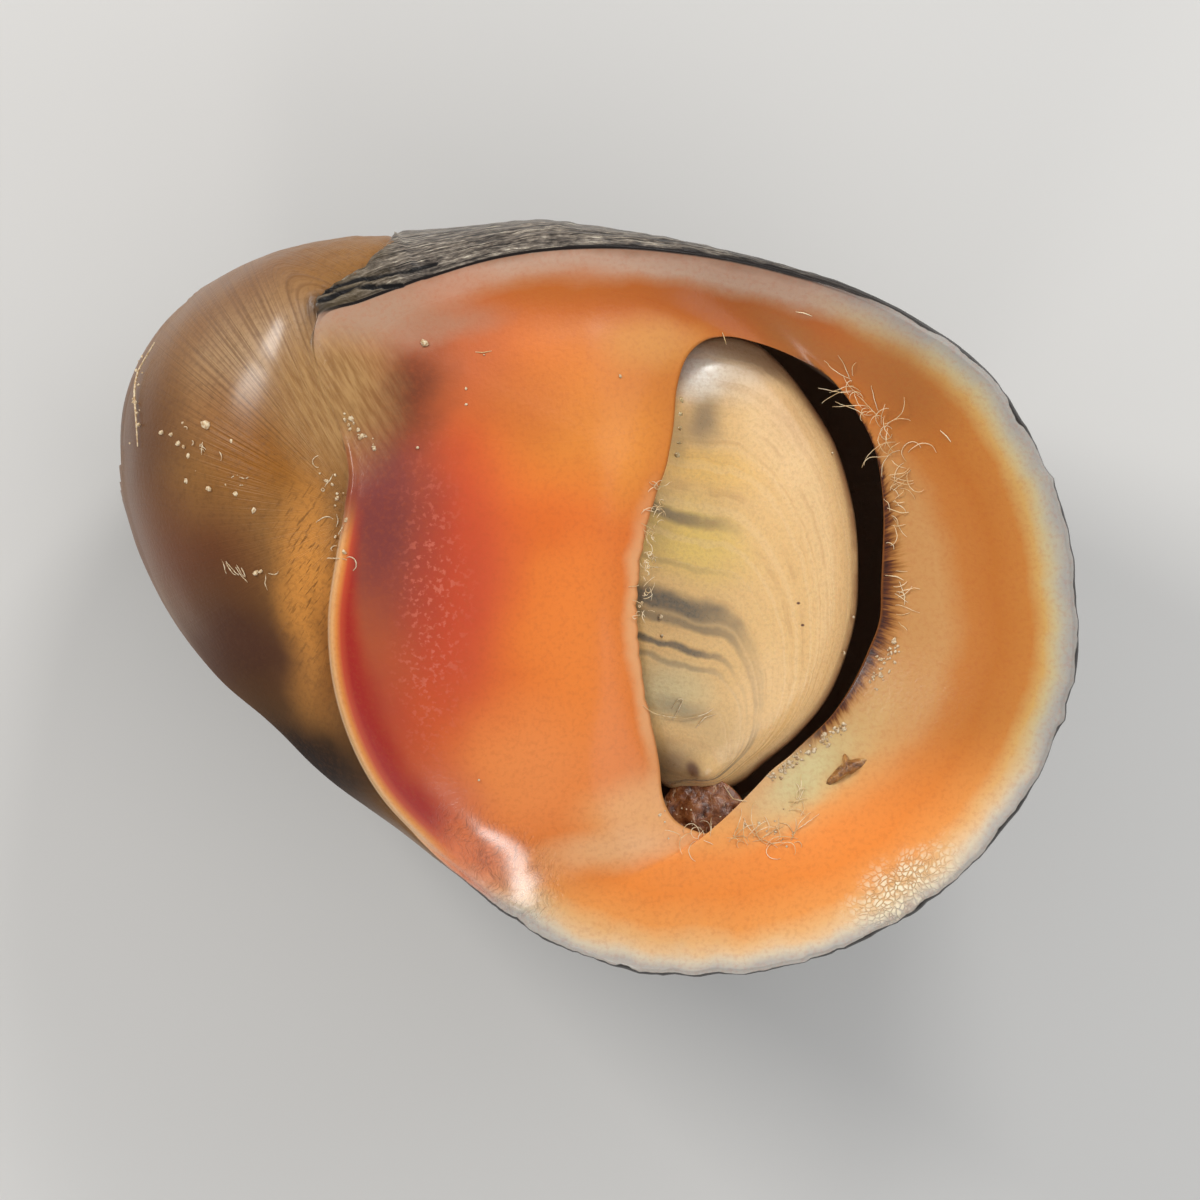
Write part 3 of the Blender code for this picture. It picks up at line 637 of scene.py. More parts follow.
shellPaint = dict(
    # the lip's colours by millimetres in from its edge: at the right, at the top and at the bottom
    right=((0.00, (0.38, 0.355, 0.32)), (0.22, (0.46, 0.41, 0.31)), (0.46, (0.55, 0.44, 0.24)),
           (0.78, (0.60, 0.35, 0.11)), (1.15, (0.54, 0.20, 0.038)), (2.0, (0.50, 0.162, 0.026)),
           (2.8, (0.53, 0.188, 0.038)), (3.6, (0.57, 0.285, 0.098)), (4.6, (0.55, 0.275, 0.093)),
           (5.5, (0.50, 0.21, 0.05)), (7.0, (0.44, 0.155, 0.035))),
    top=((0.00, (0.34, 0.19, 0.12)), (0.22, (0.48, 0.30, 0.21)), (0.58, (0.51, 0.33, 0.23)),
         (0.85, (0.47, 0.21, 0.10)), (1.08, (0.45, 0.118, 0.020)), (1.7, (0.51, 0.13, 0.020)),
         (2.4, (0.60, 0.175, 0.026)), (3.2, (0.65, 0.205, 0.034)), (6.0, (0.68, 0.24, 0.05))),
    bottom=((0.00, (0.48, 0.44, 0.39)), (0.22, (0.70, 0.58, 0.42)), (0.46, (0.82, 0.53, 0.28)),
            (0.75, (0.83, 0.45, 0.18)), (1.2, (0.86, 0.33, 0.080)), (2.1, (0.86, 0.26, 0.044)),
            (3.0, (0.88, 0.28, 0.056)), (3.9, (0.88, 0.38, 0.11)), (5.0, (0.78, 0.38, 0.14))),
    span=8.0, bottomFrom=(-3.0, -7.0), ripple=0.55,
    deck=(0.75, 0.165, 0.026), deckPlace=((-4.3, 0.0), (8.4, 9.2), 0, 0.34),
    # the deck's margin by millimetres in, and where it fades into the deck, at its top and at its lower end
    margin=((0.00, (0.74, 0.50, 0.30)), (0.09, (0.80, 0.44, 0.18)), (0.22, (0.74, 0.27, 0.06)),
            (0.36, (0.54, 0.07, 0.026)), (0.55, (0.38, 0.020, 0.013)), (1.5, (0.36, 0.022, 0.014))),
    marginFade=((0.30, 0.70), (0.7, 1.5)), marginTurn=(2.2, -3.0), marginTop=(3.0, 1.2),
    marginEnd=(-5.0, -3.6),
    # soft spots over the whole face, some of them painted shade and a painted highlight, then patches with a
    # finer edge, two of them partly a painted sheen
    spots=(
        ((0.0, -2.2), (3.4, 7.6), 4, 0.9, (0.84, 0.235, 0.040)),
        ((-0.3, 4.9), (4.4, 3.0), 0, 0.9, (0.71, 0.240, 0.038)),
        ((-2.6, 5.5), (2.6, 2.0), 0, 0.75, (0.56, 0.145, 0.026)),
        ((0.9, 4.0), (1.5, 2.2), 0, 0.7, (0.88, 0.32, 0.052)),
        ((1.6, 7.2), (2.2, 1.2), 0, 0.6, (0.72, 0.34, 0.080)),
        ((-1.9, 2.0), (2.9, 1.3), 8, 0.6, (0.68, 0.13, 0.020)),
        ((-3.9, 0.0), (2.4, 6.6), -3, 0.9, (0.60, 0.085, 0.034)),
        ((-2.1, -5.0), (3.4, 3.0), 0, 0.8, (0.86, 0.28, 0.075)),
        ((-4.6, -5.7), (2.2, 1.9), -35, 0.8, (0.56, 0.125, 0.070)),
        ((-5.9, -3.3), (1.5, 3.0), 18, 0.75, (0.42, 0.050, 0.030)),
        ((0.9, -6.2), (2.4, 1.5), 8, 0.75, (0.88, 0.45, 0.17)),
        # the pale cream streak at the bottom of the lip: a painted highlight
        ((0.2, -7.15), (3.0, 0.8), 8, 0.8, (0.88, 0.48, 0.22)),
        ((-3.7, -7.3), (2.3, 1.1), -36, 1.0, (0.82, 0.19, 0.050)),
        # darker brown under the top of the mouth: painted shade
        ((5.9, 7.1), (3.0, 0.9), -30, 0.75, (0.40, 0.150, 0.035)),
        ((8.6, 6.0), (2.8, 1.5), -44, 0.75, (0.37, 0.125, 0.027)),
        ((-0.3, 8.75), (4.6, 0.7), -2, 0.6, (0.47, 0.125, 0.020)),
    ),
    patches=(
        ((-4.6, 0.6), (2.2, 7.8), -4, 0.9, (0.52, 0.062, 0.024)),
        ((-6.2, 2.5), (2.7, 7.4), -4, 1.0, (0.205, 0.043, 0.036)),
        ((-4.6, 7.0), (3.4, 2.9), 25, 0.85, (0.46, 0.112, 0.036)),
        ((-5.6, 5.8), (2.5, 1.9), 55, 1.0, (0.16, 0.038, 0.015)),
        # mauve-grey glaze at the top left: its own tone with a painted sheen in it
        ((-6.6, 7.9), (3.6, 1.75), 14, 1.0, (0.40, 0.240, 0.155)),
        ((-4.4, 7.75), (2.5, 0.8), 10, 0.65, (0.38, 0.200, 0.120)),
        ((5.9, -4.95), (3.1, 1.25), 42, 1.0, (0.64, 0.530, 0.260)),
        ((7.6, -3.4), (1.3, 2.2), -28, 0.6, (0.60, 0.380, 0.150)),
    ),
    # the khaki feather of the deck over the whorl: its mask, where it starts along Y and Z, and its streaks
    khaki=((-7.5, 6.0), (2.5, 3.3), 12, 0.75), khakiTop=(8.2, 6.6), khakiLevel=(7.0, 9.5),
    khakiStreaks=(-60, 0.9, 0.11), khakiTones=((0.27, 0.13, 0.040), (0.42, 0.235, 0.088)),
    # dots: (size, detail and roughness of the noise, the band over which they come up, the most, tone)
    crimson=((-4.7, -0.3), (1.5, 6.2)), crimsonDots=((0.17, 2.0, 0.6), (0.52, 0.66), 0.6, (0.66, 0.17, 0.11)),
    faceDots=((0.13, 3.0, 0.6), (0.42, 0.75), 0.20, (0.42, 0.085, 0.022)),
    # the crackled glaze at the lower right, its pale plates partly a painted highlight, the wrinkled and the
    # wet glaze at the lower left, and dull places
    crackled=((8.6, -8.1), (2.3, 1.2), 36, 0.9, 0.9), crackleScale=6.0, plateHeight=0.03,
    crackleAndHighlightTone=(0.95, 0.84, 0.60), crackleGap=(0.72, 0.50, 0.28),
    wrinkled=((-2.9, -7.4), (2.9, 1.5), -42), wrinkles=(72, 0.26, 0.10), wrinkleHeight=0.36,
    wet=((-2.8, -7.5), (3.0, 1.4), -42), glazeCoat=0.26, wrap=0.25, gritHeight=0.0125, roughness=0.27,
    dull=(((6.5, 7.0), (4.5, 2.6), -30), ((-1.6, 6.6), (5.4, 2.4))),
    # the fibrous band beside the gap, the deck's pale edge, and the black line between glaze and laminae
    fringe=((0.00, (0.040, 0.012, 0.008)), (0.16, (0.11, 0.032, 0.012)), (0.34, (0.24, 0.085, 0.016)),
            (0.60, (0.40, 0.165, 0.032)), (0.90, (0.50, 0.230, 0.055))), fringeReach=(0.82, 0.15),
    fringeFrom=(5.0, 6.5), edgeTone=(0.88, 0.52, 0.25), edgeWidth=(0.50, 0.12), edgeFrom=(4.5, 1.0),
    lineThickness=(-4.0, 7.0, 0.035, 0.14), lineTone=(0.012, 0.008, 0.007),
    # the throat, by millimetres up from its dark
    throat=((0.00, (0.46, 0.30, 0.20)), (1.2, (0.36, 0.17, 0.10)), (1.9, (0.26, 0.080, 0.045)),
            (2.3, (0.20, 0.055, 0.020)), (2.6, (0.34, 0.120, 0.032))),
    # the grown skin outside: brown whorl, black back, brown spire, and laminae
    brown=(0.27, 0.125, 0.035), black=(0.020, 0.015, 0.013), blackLines=(0.052, 0.038, 0.031),
    spire=(0.075, 0.040, 0.022), spireReach=(4.6, 1.6), backFrom=(7.4, 4.6), laminaFrom=(6.6, 9.8),
    whorlSpotsAndHighlight=(
        ((-10.3, 8.5), (4.4, 1.8), 36, 0.85, (0.20, 0.082, 0.020)),
        # pinkish-beige on the upper whorl: a painted highlight
        ((-9.6, 7.0), (3.0, 2.2), 35, 0.85, (0.45, 0.285, 0.15)),
        ((-10.5, 5.0), (2.6, 1.9), 0, 0.6, (0.34, 0.165, 0.065)),
        ((-9.4, 4.2), (2.8, 2.4), -20, 1.0, (0.29, 0.108, 0.014)),
        ((-13.0, 4.2), (1.9, 4.6), 0, 0.9, (0.11, 0.040, 0.012)),
        ((-11.6, 1.2), (3.4, 2.6), -20, 0.9, (0.12, 0.036, 0.013)),
        ((-10.2, -1.4), (3.8, 2.9), -30, 0.95, (0.060, 0.018, 0.008)),
        ((-8.2, -4.9), (4.9, 2.5), -42, 1.0, (0.014, 0.007, 0.005)),
        ((-8.15, 0.2), (1.35, 4.6), 3, 1.0, (0.60, 0.245, 0.048)),
        ((-7.75, -1.8), (0.65, 3.0), 8, 0.7, (0.26, 0.100, 0.020)),
        ((-8.2, 5.2), (1.4, 2.6), 14, 0.6, (0.37, 0.185, 0.065)),
    ),
    lamina=((0.35, (0.008, 0.007, 0.007)), (0.43, (0.050, 0.041, 0.034)), (0.51, (0.14, 0.115, 0.093)),
            (0.60, (0.31, 0.265, 0.210)), (0.69, (0.78, 0.710, 0.560))), olive=(0.15, 0.105, 0.045),
    oliveFrom=(-5.4, -7.4), blackFrom=(1.0, 7.5), lipRadius=11,
    laminaStreaks=((1.3, 0.06), (0.26, 0.07), (3.0, 0.07)),         # length and width
    # dashes: their direction, length and width, band, mask, strength and tone
    dashes=((55, 0.45, 0.07), (0.56, 0.68), ((-8.2, 0.9), (1.5, 4.6), 4), 0.65, (0.10, 0.040, 0.010)),
    combed=((-9.4, 7.0), (4.2, 4.6), -20), combHeight=0.055, combTone=(0.13, 0.050, 0.016),
    brownDots=((0.16, 3.0, 0.65), (0.42, 0.72), 0.30, (0.10, 0.040, 0.014)),
    crackTone=(0.006, 0.005, 0.005), seamTone=(0.03, 0.015, 0.008),
    matt=((-9.4, -4.0), (4.6, 3.6), -42),
    glossy=((-9.9, 7.2), (3.6, 3.2), 30, 0.9, 0.40),
)


def shellReadings(tree):
    # what the shell's finish reads: its fields, its place as it is and pushed about, noise and growth lines
    read = {name: field(tree, name) for name in shellFields}
    read["place"], read["broken"] = places(tree, 1.2, 2.6)
    read["near"] = places(tree, 0.75, 0.9)[1]
    apart = put(tree, "SeparateXYZ", {0: read["place"]}).outputs
    read.update({axis: apart[axis] for axis in "XYZ"})
    read["lump"] = calc(tree, "SUBTRACT", speckle(tree, read["place"], 1.4, 3.0, 0.55), 0.5)
    read["lines"] = lineNoise(tree, read["growth"], 0.12, 2.0, 0.6)
    cells = {"Vector": read["near"], "Scale": shellPaint["crackleScale"], "Randomness": 1.0}
    read["cells"] = put(tree, "TexVoronoi", cells, feature="DISTANCE_TO_EDGE").outputs["Distance"]
    return read


def ringStreaks(tree, read, along, turns, width, centre=(0, 0)):
    # noise drawn out round a centre: the unit vector in plan times the turns, and the value over the width
    # as its height
    flat = calcVector(tree, "MULTIPLY", calcVector(tree, "SUBTRACT", read["place"], (*centre, 0)), (1, 1, 0))
    way = put(tree, "VectorMath", {0: flat}, operation="NORMALIZE").outputs[0]
    way = put(tree, "VectorMath", {0: way, "Scale": turns}, operation="SCALE").outputs[0]
    level = put(tree, "CombineXYZ", {"Z": calc(tree, "DIVIDE", along, width)}).outputs[0]
    return speckle(tree, calcVector(tree, "ADD", way, level), 1.0, 3.0, 0.6)


def lipColour(tree, read):
    # three ramps inwards from the edge, blended by the side of the shell, their bands a little wavy
    paint = shellPaint
    wavy = waved(tree, read["glazeWay"], read["lump"], paint["ripple"])
    right, top, bottom = (ramp(tree, wavy, paint[side], paint["span"]) for side in ("right", "top", "bottom"))
    low = eased(tree, read["Y"], *paint["bottomFrom"])
    return mixed(tree, read["topSide"], mixed(tree, low, right, bottom), top)


def marginShare(tree, read):
    # 1 along the deck's margin, gone further in: where it starts and ends to fade turns from top to bottom
    paint = shellPaint
    lower = eased(tree, read["Y"], *paint["marginTurn"])
    start, end = (waved(tree, high, lower, low - high) for high, low in zip(*paint["marginFade"]))
    inTo = waved(tree, read["glazeWay"], read["lump"], 0.35)
    return product(tree, eased(tree, inTo, start, end, 1.0, 0.0), read["deckSide"],
                   eased(tree, read["Y"], *paint["marginTop"]),
                   eased(tree, read["X"], *paint["marginEnd"], 1.0, 0.0))


def faceColour(tree, read):
    # lip and deck, soft spots with painted shade and a painted highlight among them, crimson dots, the
    # margin's ramp by its share, and fine dots over all
    paint = shellPaint
    deck = spotMask(tree, read["broken"], *paint["deckPlace"])
    face = mixed(tree, deck, lipColour(tree, read), paint["deck"])
    face = painted(tree, face, read["broken"], paint["spots"])
    face = painted(tree, face, read["near"], paint["patches"])
    noise, band, most, tone = paint["crimsonDots"]
    share = product(tree, dots(tree, read["place"], noise, band, most),
                    spotMask(tree, read["broken"], *paint["crimson"]))
    face = mixed(tree, share, face, tone)
    face = mixed(tree, marginShare(tree, read), face, ramp(tree, read["glazeWay"], paint["margin"], 2.0))
    return dotted(tree, face, read["place"], *paint["faceDots"])


def mouthColour(tree, read, face):
    # pale deck edge, fibrous brown band beside the gap, and the throat's ramp going down into the dark
    paint, mouthWay, lump = shellPaint, read["mouthWay"], read["lump"]
    edge = product(tree, eased(tree, waved(tree, mouthWay, lump, 0.5), *paint["edgeWidth"]), read["deckSide"],
                   eased(tree, read["Y"], *paint["edgeFrom"]), 0.6)
    face = mixed(tree, edge, face, paint["edgeTone"])
    radial = ringStreaks(tree, read, mouthWay, 42.0, 0.9, shellForm["mouthCentre"])
    reach = waved(tree, calc(tree, "SUBTRACT", mouthWay, 0.55), radial, 1.1)
    fringe = product(tree, eased(tree, reach, *paint["fringeReach"]),
                     eased(tree, read["X"], *paint["fringeFrom"]), less(tree, read["deckSide"]))
    face = mixed(tree, fringe, face, ramp(tree, larger(tree, reach, 0.0), paint["fringe"]))
    deepest = paint["throat"][-1][0]
    depth = calc(tree, "ADD", waved(tree, mouthWay, lump, 0.5), deepest)
    return mixed(tree, eased(tree, mouthWay, 0.10, -0.06), face, ramp(tree, depth, paint["throat"], deepest))


def whorlColour(tree, read):
    # brown whorl seen from the front: soft spots, one of them a painted highlight, dark dashes beside the
    # margin, combed lines, fine dots
    paint = shellPaint
    whorl = painted(tree, wide(paint["brown"]), read["broken"], paint["whorlSpotsAndHighlight"])
    direction, band, place, strength, tone = paint["dashes"]
    dashes = eased(tree, speckle(tree, drawnOut(tree, read["place"], *direction), 1.0, 2.0, 0.5), *band)
    dashes = product(tree, dashes, spotMask(tree, read["place"], *place), strength)
    whorl = mixed(tree, dashes, whorl, tone)
    combed = product(tree, eased(tree, read["lines"], 0.44, 0.60),
                     spotMask(tree, read["broken"], *paint["combed"]), 0.55)
    whorl = mixed(tree, combed, whorl, paint["combTone"])
    return dotted(tree, whorl, read["place"], *paint["brownDots"])


def laminaColour(tree, read):
    # grey laminae: long and short streaks round the shell, thin dark ones, olive at the left, black at right
    paint = shellPaint
    coarse, fine, thin = (ringStreaks(tree, read, read["glazeWay"], paint["lipRadius"] / length, width)
                          for length, width in paint["laminaStreaks"])
    grey = calc(tree, "ADD", product(tree, coarse, 0.55), product(tree, fine, 0.45))
    lamina = mixed(tree, eased(tree, thin, 0.39, 0.34), ramp(tree, grey, paint["lamina"]), paint["crackTone"])
    along = waved(tree, read["X"], read["lump"], 3.0)
    lamina = mixed(tree, eased(tree, along, *paint["oliveFrom"], 0.0, 0.4), lamina, paint["olive"])
    return mixed(tree, eased(tree, along, *paint["blackFrom"], 0.0, 0.8), lamina, paint["black"])


def outsideColour(tree, read):
    # brown whorl at the front, black back and last whorl with growth lines, laminae along the top of the lip
    paint, lump = shellPaint, read["lump"]
    skin = mixed(tree, eased(tree, read["lines"], 0.35, 0.75), paint["black"], paint["blackLines"])
    spire = eased(tree, waved(tree, read["apexWay"], lump, 2.0), *paint["spireReach"])
    skin = mixed(tree, spire, skin, paint["spire"])
    level = waved(tree, read["Z"], lump, 3.0)
    torn = calc(tree, "SUBTRACT", speckle(tree, read["place"], 0.4, 3.0, 0.6), 0.5)
    newWhorl = eased(tree, waved(tree, waved(tree, read["sutureWay"], lump, 0.5), torn, 0.7), -0.06, 0.10)
    outside = mixed(tree, larger(tree, eased(tree, level, *paint["backFrom"]), newWhorl),
                    whorlColour(tree, read), skin)
    rim = product(tree, eased(tree, read["glazeWay"], -0.9, -0.4), less(tree, read["deckSide"]))
    outside = mixed(tree, rim, outside, paint["black"])
    newest = product(tree, newWhorl, read["topSide"], eased(tree, level, *paint["laminaFrom"]))
    outside = mixed(tree, newest, outside, laminaColour(tree, read))
    outside = mixed(tree, eased(tree, read["crackWay"], 0.075, 0.03), outside, paint["crackTone"])
    seam = product(tree, eased(tree, calc(tree, "ABSOLUTE", read["sutureWay"]), 0.10, 0.02), read["deckSide"],
                   eased(tree, read["glazeWay"], -0.7, -0.05), 0.7)
    return mixed(tree, seam, outside, paint["seamTone"])


def glazeShare(tree, read):
    # 1 on the glaze; at the right and bottom it wraps round the edge as far as soft noise lets it
    sides = calc(tree, "MINIMUM", calc(tree, "ADD", read["deckSide"], read["topSide"]), 1.0)
    wrap = product(tree, less(tree, sides), waved(tree, shellPaint["wrap"], read["lump"], 0.9))
    return eased(tree, calc(tree, "ADD", read["glazeWay"], wrap), -0.03, 0.03)


def shellColour(tree, read, glazed, crackled):
    # glaze over skin, then the black line between glaze and laminae, the khaki feather of the deck over the
    # whorl, streaked, that hides where one ends and the other begins, and the crackle's pale plates, partly a
    # painted highlight
    paint = shellPaint
    face = mouthColour(tree, read, faceColour(tree, read))
    colour = mixed(tree, glazed, outsideColour(tree, read), face)
    thick = eased(tree, read["X"], *paint["lineThickness"])
    off = calc(tree, "ABSOLUTE", calc(tree, "ADD", read["glazeWay"], thick))
    line = product(tree, eased(tree, calc(tree, "DIVIDE", off, thick), 1.3, 0.7), read["topSide"])
    colour = mixed(tree, line, colour, paint["lineTone"])

    streak = speckle(tree, drawnOut(tree, read["place"], *paint["khakiStreaks"]), 1.0, 3.0, 0.6)
    khaki = product(tree, spotMask(tree, read["near"], *paint["khaki"]),
                    eased(tree, read["Y"], *paint["khakiTop"]), eased(tree, read["Z"], *paint["khakiLevel"]))
    colour = mixed(tree, khaki, colour, mixed(tree, eased(tree, streak, 0.3, 0.7), *paint["khakiTones"]))

    # the crackled patch made paler and its plates pale cream: the crackle's own tone with a painted highlight
    # in it
    plates = product(tree, eased(tree, read["cells"], 0.0, 0.25),
                     dots(tree, read["place"], (0.30, 2.0, 0.5), (0.38, 0.55)), crackled)
    colour = mixed(tree, product(tree, crackled, 0.35), colour, paint["crackleGap"])
    return mixed(tree, plates, colour, paint["crackleAndHighlightTone"])


def shellBump(tree, read, glazed, crackled):
    # heights in millimetres, summed: fine grit, wrinkles and crackled plates on the glaze, lines outside
    paint = shellPaint
    skin = less(tree, glazed)
    grit = speckle(tree, read["place"], 0.15, 3.0, 0.6)
    wrinkle = speckle(tree, drawnOut(tree, read["near"], *paint["wrinkles"]), 1.0, 2.0, 0.5)
    wrinkled = spotMask(tree, read["broken"], *paint["wrinkled"])
    combed = spotMask(tree, read["broken"], *paint["combed"])
    total = product(tree, grit, paint["gritHeight"])
    for part in (product(tree, wrinkle, wrinkled, paint["wrinkleHeight"]),
                 product(tree, eased(tree, read["cells"], 0.0, 0.14), crackled, paint["plateHeight"]),
                 product(tree, read["lines"], skin, waved(tree, 0.012, combed, paint["combHeight"]))):
        total = calc(tree, "ADD", total, part)
    return total


def paintShell():
    # one finish for the whole skin: brown and black grown skin outside, glaze on the face, dark inside. The
    # glaze has a thin coat, full where it is wet; the skin has one only where the whorl shines
    paint = shellPaint
    material, tree, shader = newMaterial("shellLime", 0.30, coatRoughness=0.20, subsurface=0.06)
    shader.inputs["Specular IOR Level"].default_value = 0.18
    read = shellReadings(tree)
    glazed = glazeShare(tree, read)
    crackled = calc(tree, "MULTIPLY", spotMask(tree, read["broken"], *paint["crackled"]), glazed)

    glossy, wet = (spotMask(tree, read["place"], *paint[name]) for name in ("glossy", "wet"))
    coat = larger(tree, larger(tree, product(tree, glazed, paint["glazeCoat"]), glossy),
                  product(tree, wet, glazed))
    tree.links.new(coat, shader.inputs["Coat Weight"])
    skin = less(tree, glazed)
    dull = product(tree, spotMask(tree, read["broken"], *paint["matt"]), skin, 3.2)
    for place in paint["dull"]:
        dull = larger(tree, dull, spotMask(tree, read["place"], *place))
    rough = waved(tree, waved(tree, paint["roughness"], skin, 0.08), dull, 0.22)
    colour, height = (work(tree, read, glazed, crackled) for work in (shellColour, shellBump))
    finished(tree, shader, colour, height, rough)
    return material


dress(shell, paintShell(), "shell", "shell")
print("shell painted")


doorForm = dict(
    columns=240, rows=dict(top=56, rim=10, under=10),
    centre=(3.82, 0.81),
    outline=(
        (0, 3.37), (20, 3.53), (40, 3.98), (53, 4.49), (67, 5.15), (78, 5.87), (85, 6.33), (91, 6.50),
        (97, 6.53), (102, 6.42), (108, 6.02), (115, 5.31), (125, 4.47), (142, 3.69), (165, 3.31),
        (190, 3.33), (212, 3.79), (228, 4.57), (238, 5.33), (246, 6.00), (253, 6.33), (261, 6.27),
        (268, 6.08), (272, 5.86), (278, 5.44), (290, 4.90), (305, 4.37), (322, 3.85), (340, 3.53)),
    left=12.35, right=10.75, crown=0.55, thickness=0.8,
    rollFrom=0.80, roll=0.45,
    nucleus=(2.97, -5.0), bandTop=12.4, tilt=14,      # left of the nucleus the bands run straight, this steep
    straightAt=(70, 102, 150, 196),
    growthRidge=0.004, hook=0.30, hookSize=0.42, ridgeScale=9.0, rimBulge=0.12,
)


def doorAge(plan, outline):
    # share of the way from the nucleus to the outline, but straight bands to its left, where they run out
    form = doorForm
    nucleus = np.array(form["nucleus"])
    off = outline - nucleus
    bearing = np.degrees(np.arctan2(off[:, 1], off[:, 0])) % 360
    order = np.argsort(bearing)
    every = np.arange(0, 360, 2.0)
    reach = np.interp(every, bearing[order], np.linalg.norm(off, axis=1)[order], period=360)
    rise = np.sin(np.radians(every)) + math.tan(math.radians(form["tilt"])) * np.cos(np.radians(every))
    level = form["bandTop"] / np.maximum(rise, 0.22)
    share = stretch(every, *form["straightAt"])
    reach = reach + (level - reach) * share
    off = plan - nucleus
    degrees = np.degrees(np.arctan2(off[..., 1], off[..., 0])) % 360
    return np.linalg.norm(off, axis=-1) / np.interp(degrees, every, reach, period=360)


def doorRows():
    # top: shares of the outline, on a slope along X plus a paraboloid crown, rolling down near the rim, with
    # growth ridges and a small raised hook at the nucleus; rim: half a circle; underside: the shares back
    form = doorForm
    rows = form["rows"]
    angle = np.arange(form["columns"]) * 360 / form["columns"]
    centre, nucleus = np.array(form["centre"]), np.array(form["nucleus"])
    radius = around(form["outline"], angle)
    outline = ringPoints(radius, angle, centre)
    low, high = outline[:, 0].min(), outline[:, 0].max()

    def topOf(plan, share):
        # slope plus crown, less the roll near the rim
        slope = form["left"] + (form["right"] - form["left"]) * (plan[..., 0] - low) / (high - low)
        rolled = form["roll"] * np.maximum((share - form["rollFrom"]) / (1 - form["rollFrom"]), 0) ** 2
        return slope + form["crown"] * (1 - share ** 2) - rolled

    share = np.linspace(0, 1, rows["top"] + 1)[1:, None] ** 0.9
    plan = centre + (outline - centre) * share[..., None]
    age = doorAge(plan, outline)
    line = lifted(age[..., None] * (form["ridgeScale"], 0.0), 0 * age)
    ridges = grain(line, 0.16, 51) + 0.7 * grain(line, 0.5, 52)
    height = topOf(plan, share) + form["growthRidge"] * ridges + 0.03 * grain(lifted(plan, 0 * age), 1.5, 53)
    away = np.linalg.norm(plan - nucleus, axis=-1)
    height = height + form["hook"] * bump(away, 0, form["hookSize"])
    top = lifted(plan, height)
    edgeWay = (1 - share) * radius
    t = np.linspace(0, 1, rows["rim"] + 1)[1:, None]
    half = form["thickness"] / 2
    out = form["rimBulge"] * np.sin(t * math.pi)
    rim = lifted(outline + ways(angle) * out[..., None], top[-1][:, 2] - half + half * np.cos(t * math.pi))
    share = np.linspace(1, 0, rows["under"] + 1)[1:-1, None]
    plan = centre + (outline - centre) * share[..., None]
    under = topOf(plan, share * form["rollFrom"]) - form["thickness"] - form["roll"] * share ** 4
    under = lifted(plan, under)
    zero = np.zeros_like(under[..., 0])
    fields = dict(age=np.concatenate((age, age[-1] + 0 * rim[..., 0], zero)),
                  edgeWay=np.concatenate((edgeWay, -out + 0 * rim[..., 0], zero)))
    tip = float(topOf(centre, 0.0))
    return np.concatenate((top, rim, under)), (*centre, tip), (*centre, tip - form["thickness"]), fields


doorPoints, doorTop, doorUnder, doorFields = doorRows()
door = closedSkin("operculumPlate", doorPoints, doorTop, doorUnder, doorFields, downwards=True)

doorPaint = dict(
    tone=(0.88, 0.555, 0.225), outer=(0.90, 0.60, 0.28), outerFrom=(0.66, 0.86), outerPlace=(3.4, 4.6),
    spots=(
        ((3.5, 6.6), (2.4, 1.5), 0, 0.8, (0.78, 0.64, 0.47)),
        ((5.4, 5.2), (1.2, 1.8), 35, 0.5, (0.74, 0.46, 0.22)),
        ((2.5, 1.7), (2.6, 1.7), -20, 0.95, (0.92, 0.63, 0.165)),
        ((1.6, 2.2), (0.9, 1.7), 0, 0.55, (0.58, 0.40, 0.14)),
        ((2.9, 3.7), (2.4, 1.0), -14, 0.9, (0.96, 0.58, 0.16)),
        # the whitish patch at the top: a painted highlight
        ((2.7, 6.4), (1.1, 1.3), 20, 0.95, (0.96, 0.89, 0.76)),
        # brown at the top right, under the edge of the mouth: painted shade
        ((4.5, 6.7), (1.6, 0.8), -20, 0.8, (0.46, 0.28, 0.15)),
        ((1.9, -2.6), (1.9, 1.2), -10, 0.8, (0.76, 0.63, 0.34)),
        ((3.3, -3.9), (1.6, 1.2), 0, 0.6, (0.70, 0.46, 0.20)),
        # dark brown at the lower left end of the plate: a painted shadow
        ((1.8, -4.8), (1.6, 1.1), -15, 0.95, (0.24, 0.150, 0.075)),
        ((2.9, -5.3), (0.9, 0.5), 0, 0.5, (0.55, 0.27, 0.12)),
    ),
    smudges=(
        ((2.95, 5.0), (0.75, 1.1), -8, 0.85, (0.30, 0.21, 0.115)),
        ((2.2, 4.5), (0.5, 1.2), 0, 0.6, (0.46, 0.31, 0.13)),
        ((2.2, -3.1), (1.3, 0.5), -15, 0.7, (0.34, 0.28, 0.17)),
    ),
    # grey growth bands: age, half width, strength, and where along X each has faded out
    bands=((0.578, 0.024, 0.75, (1.9, 4.6)), (0.374, 0.040, 0.95, (2.6, 5.2)),
           (0.335, 0.018, 0.7, (3.0, 5.2)), (0.278, 0.013, 0.9, (2.6, 4.4)),
           (0.240, 0.012, 0.45, (2.6, 4.2)), (0.47, 0.012, 0.25, (2.4, 4.4))),
    grey=(0.15, 0.128, 0.094), brown=(0.56, 0.30, 0.11), cream=(0.96, 0.68, 0.36),
    fineTone=(0.48, 0.27, 0.10), rim=(0.26, 0.12, 0.05),
    marks=(((5.60, -0.13), (0.07, 0.05), 0, 0.6, 1.0, (0.10, 0.03, 0.012)),
           ((5.72, -0.75), (0.07, 0.05), 0, 0.6, 1.0, (0.10, 0.03, 0.012)),
           ((2.62, -4.83), (0.24, 0.36), 30, 0.7, 0.8, (0.14, 0.05, 0.025))),
)


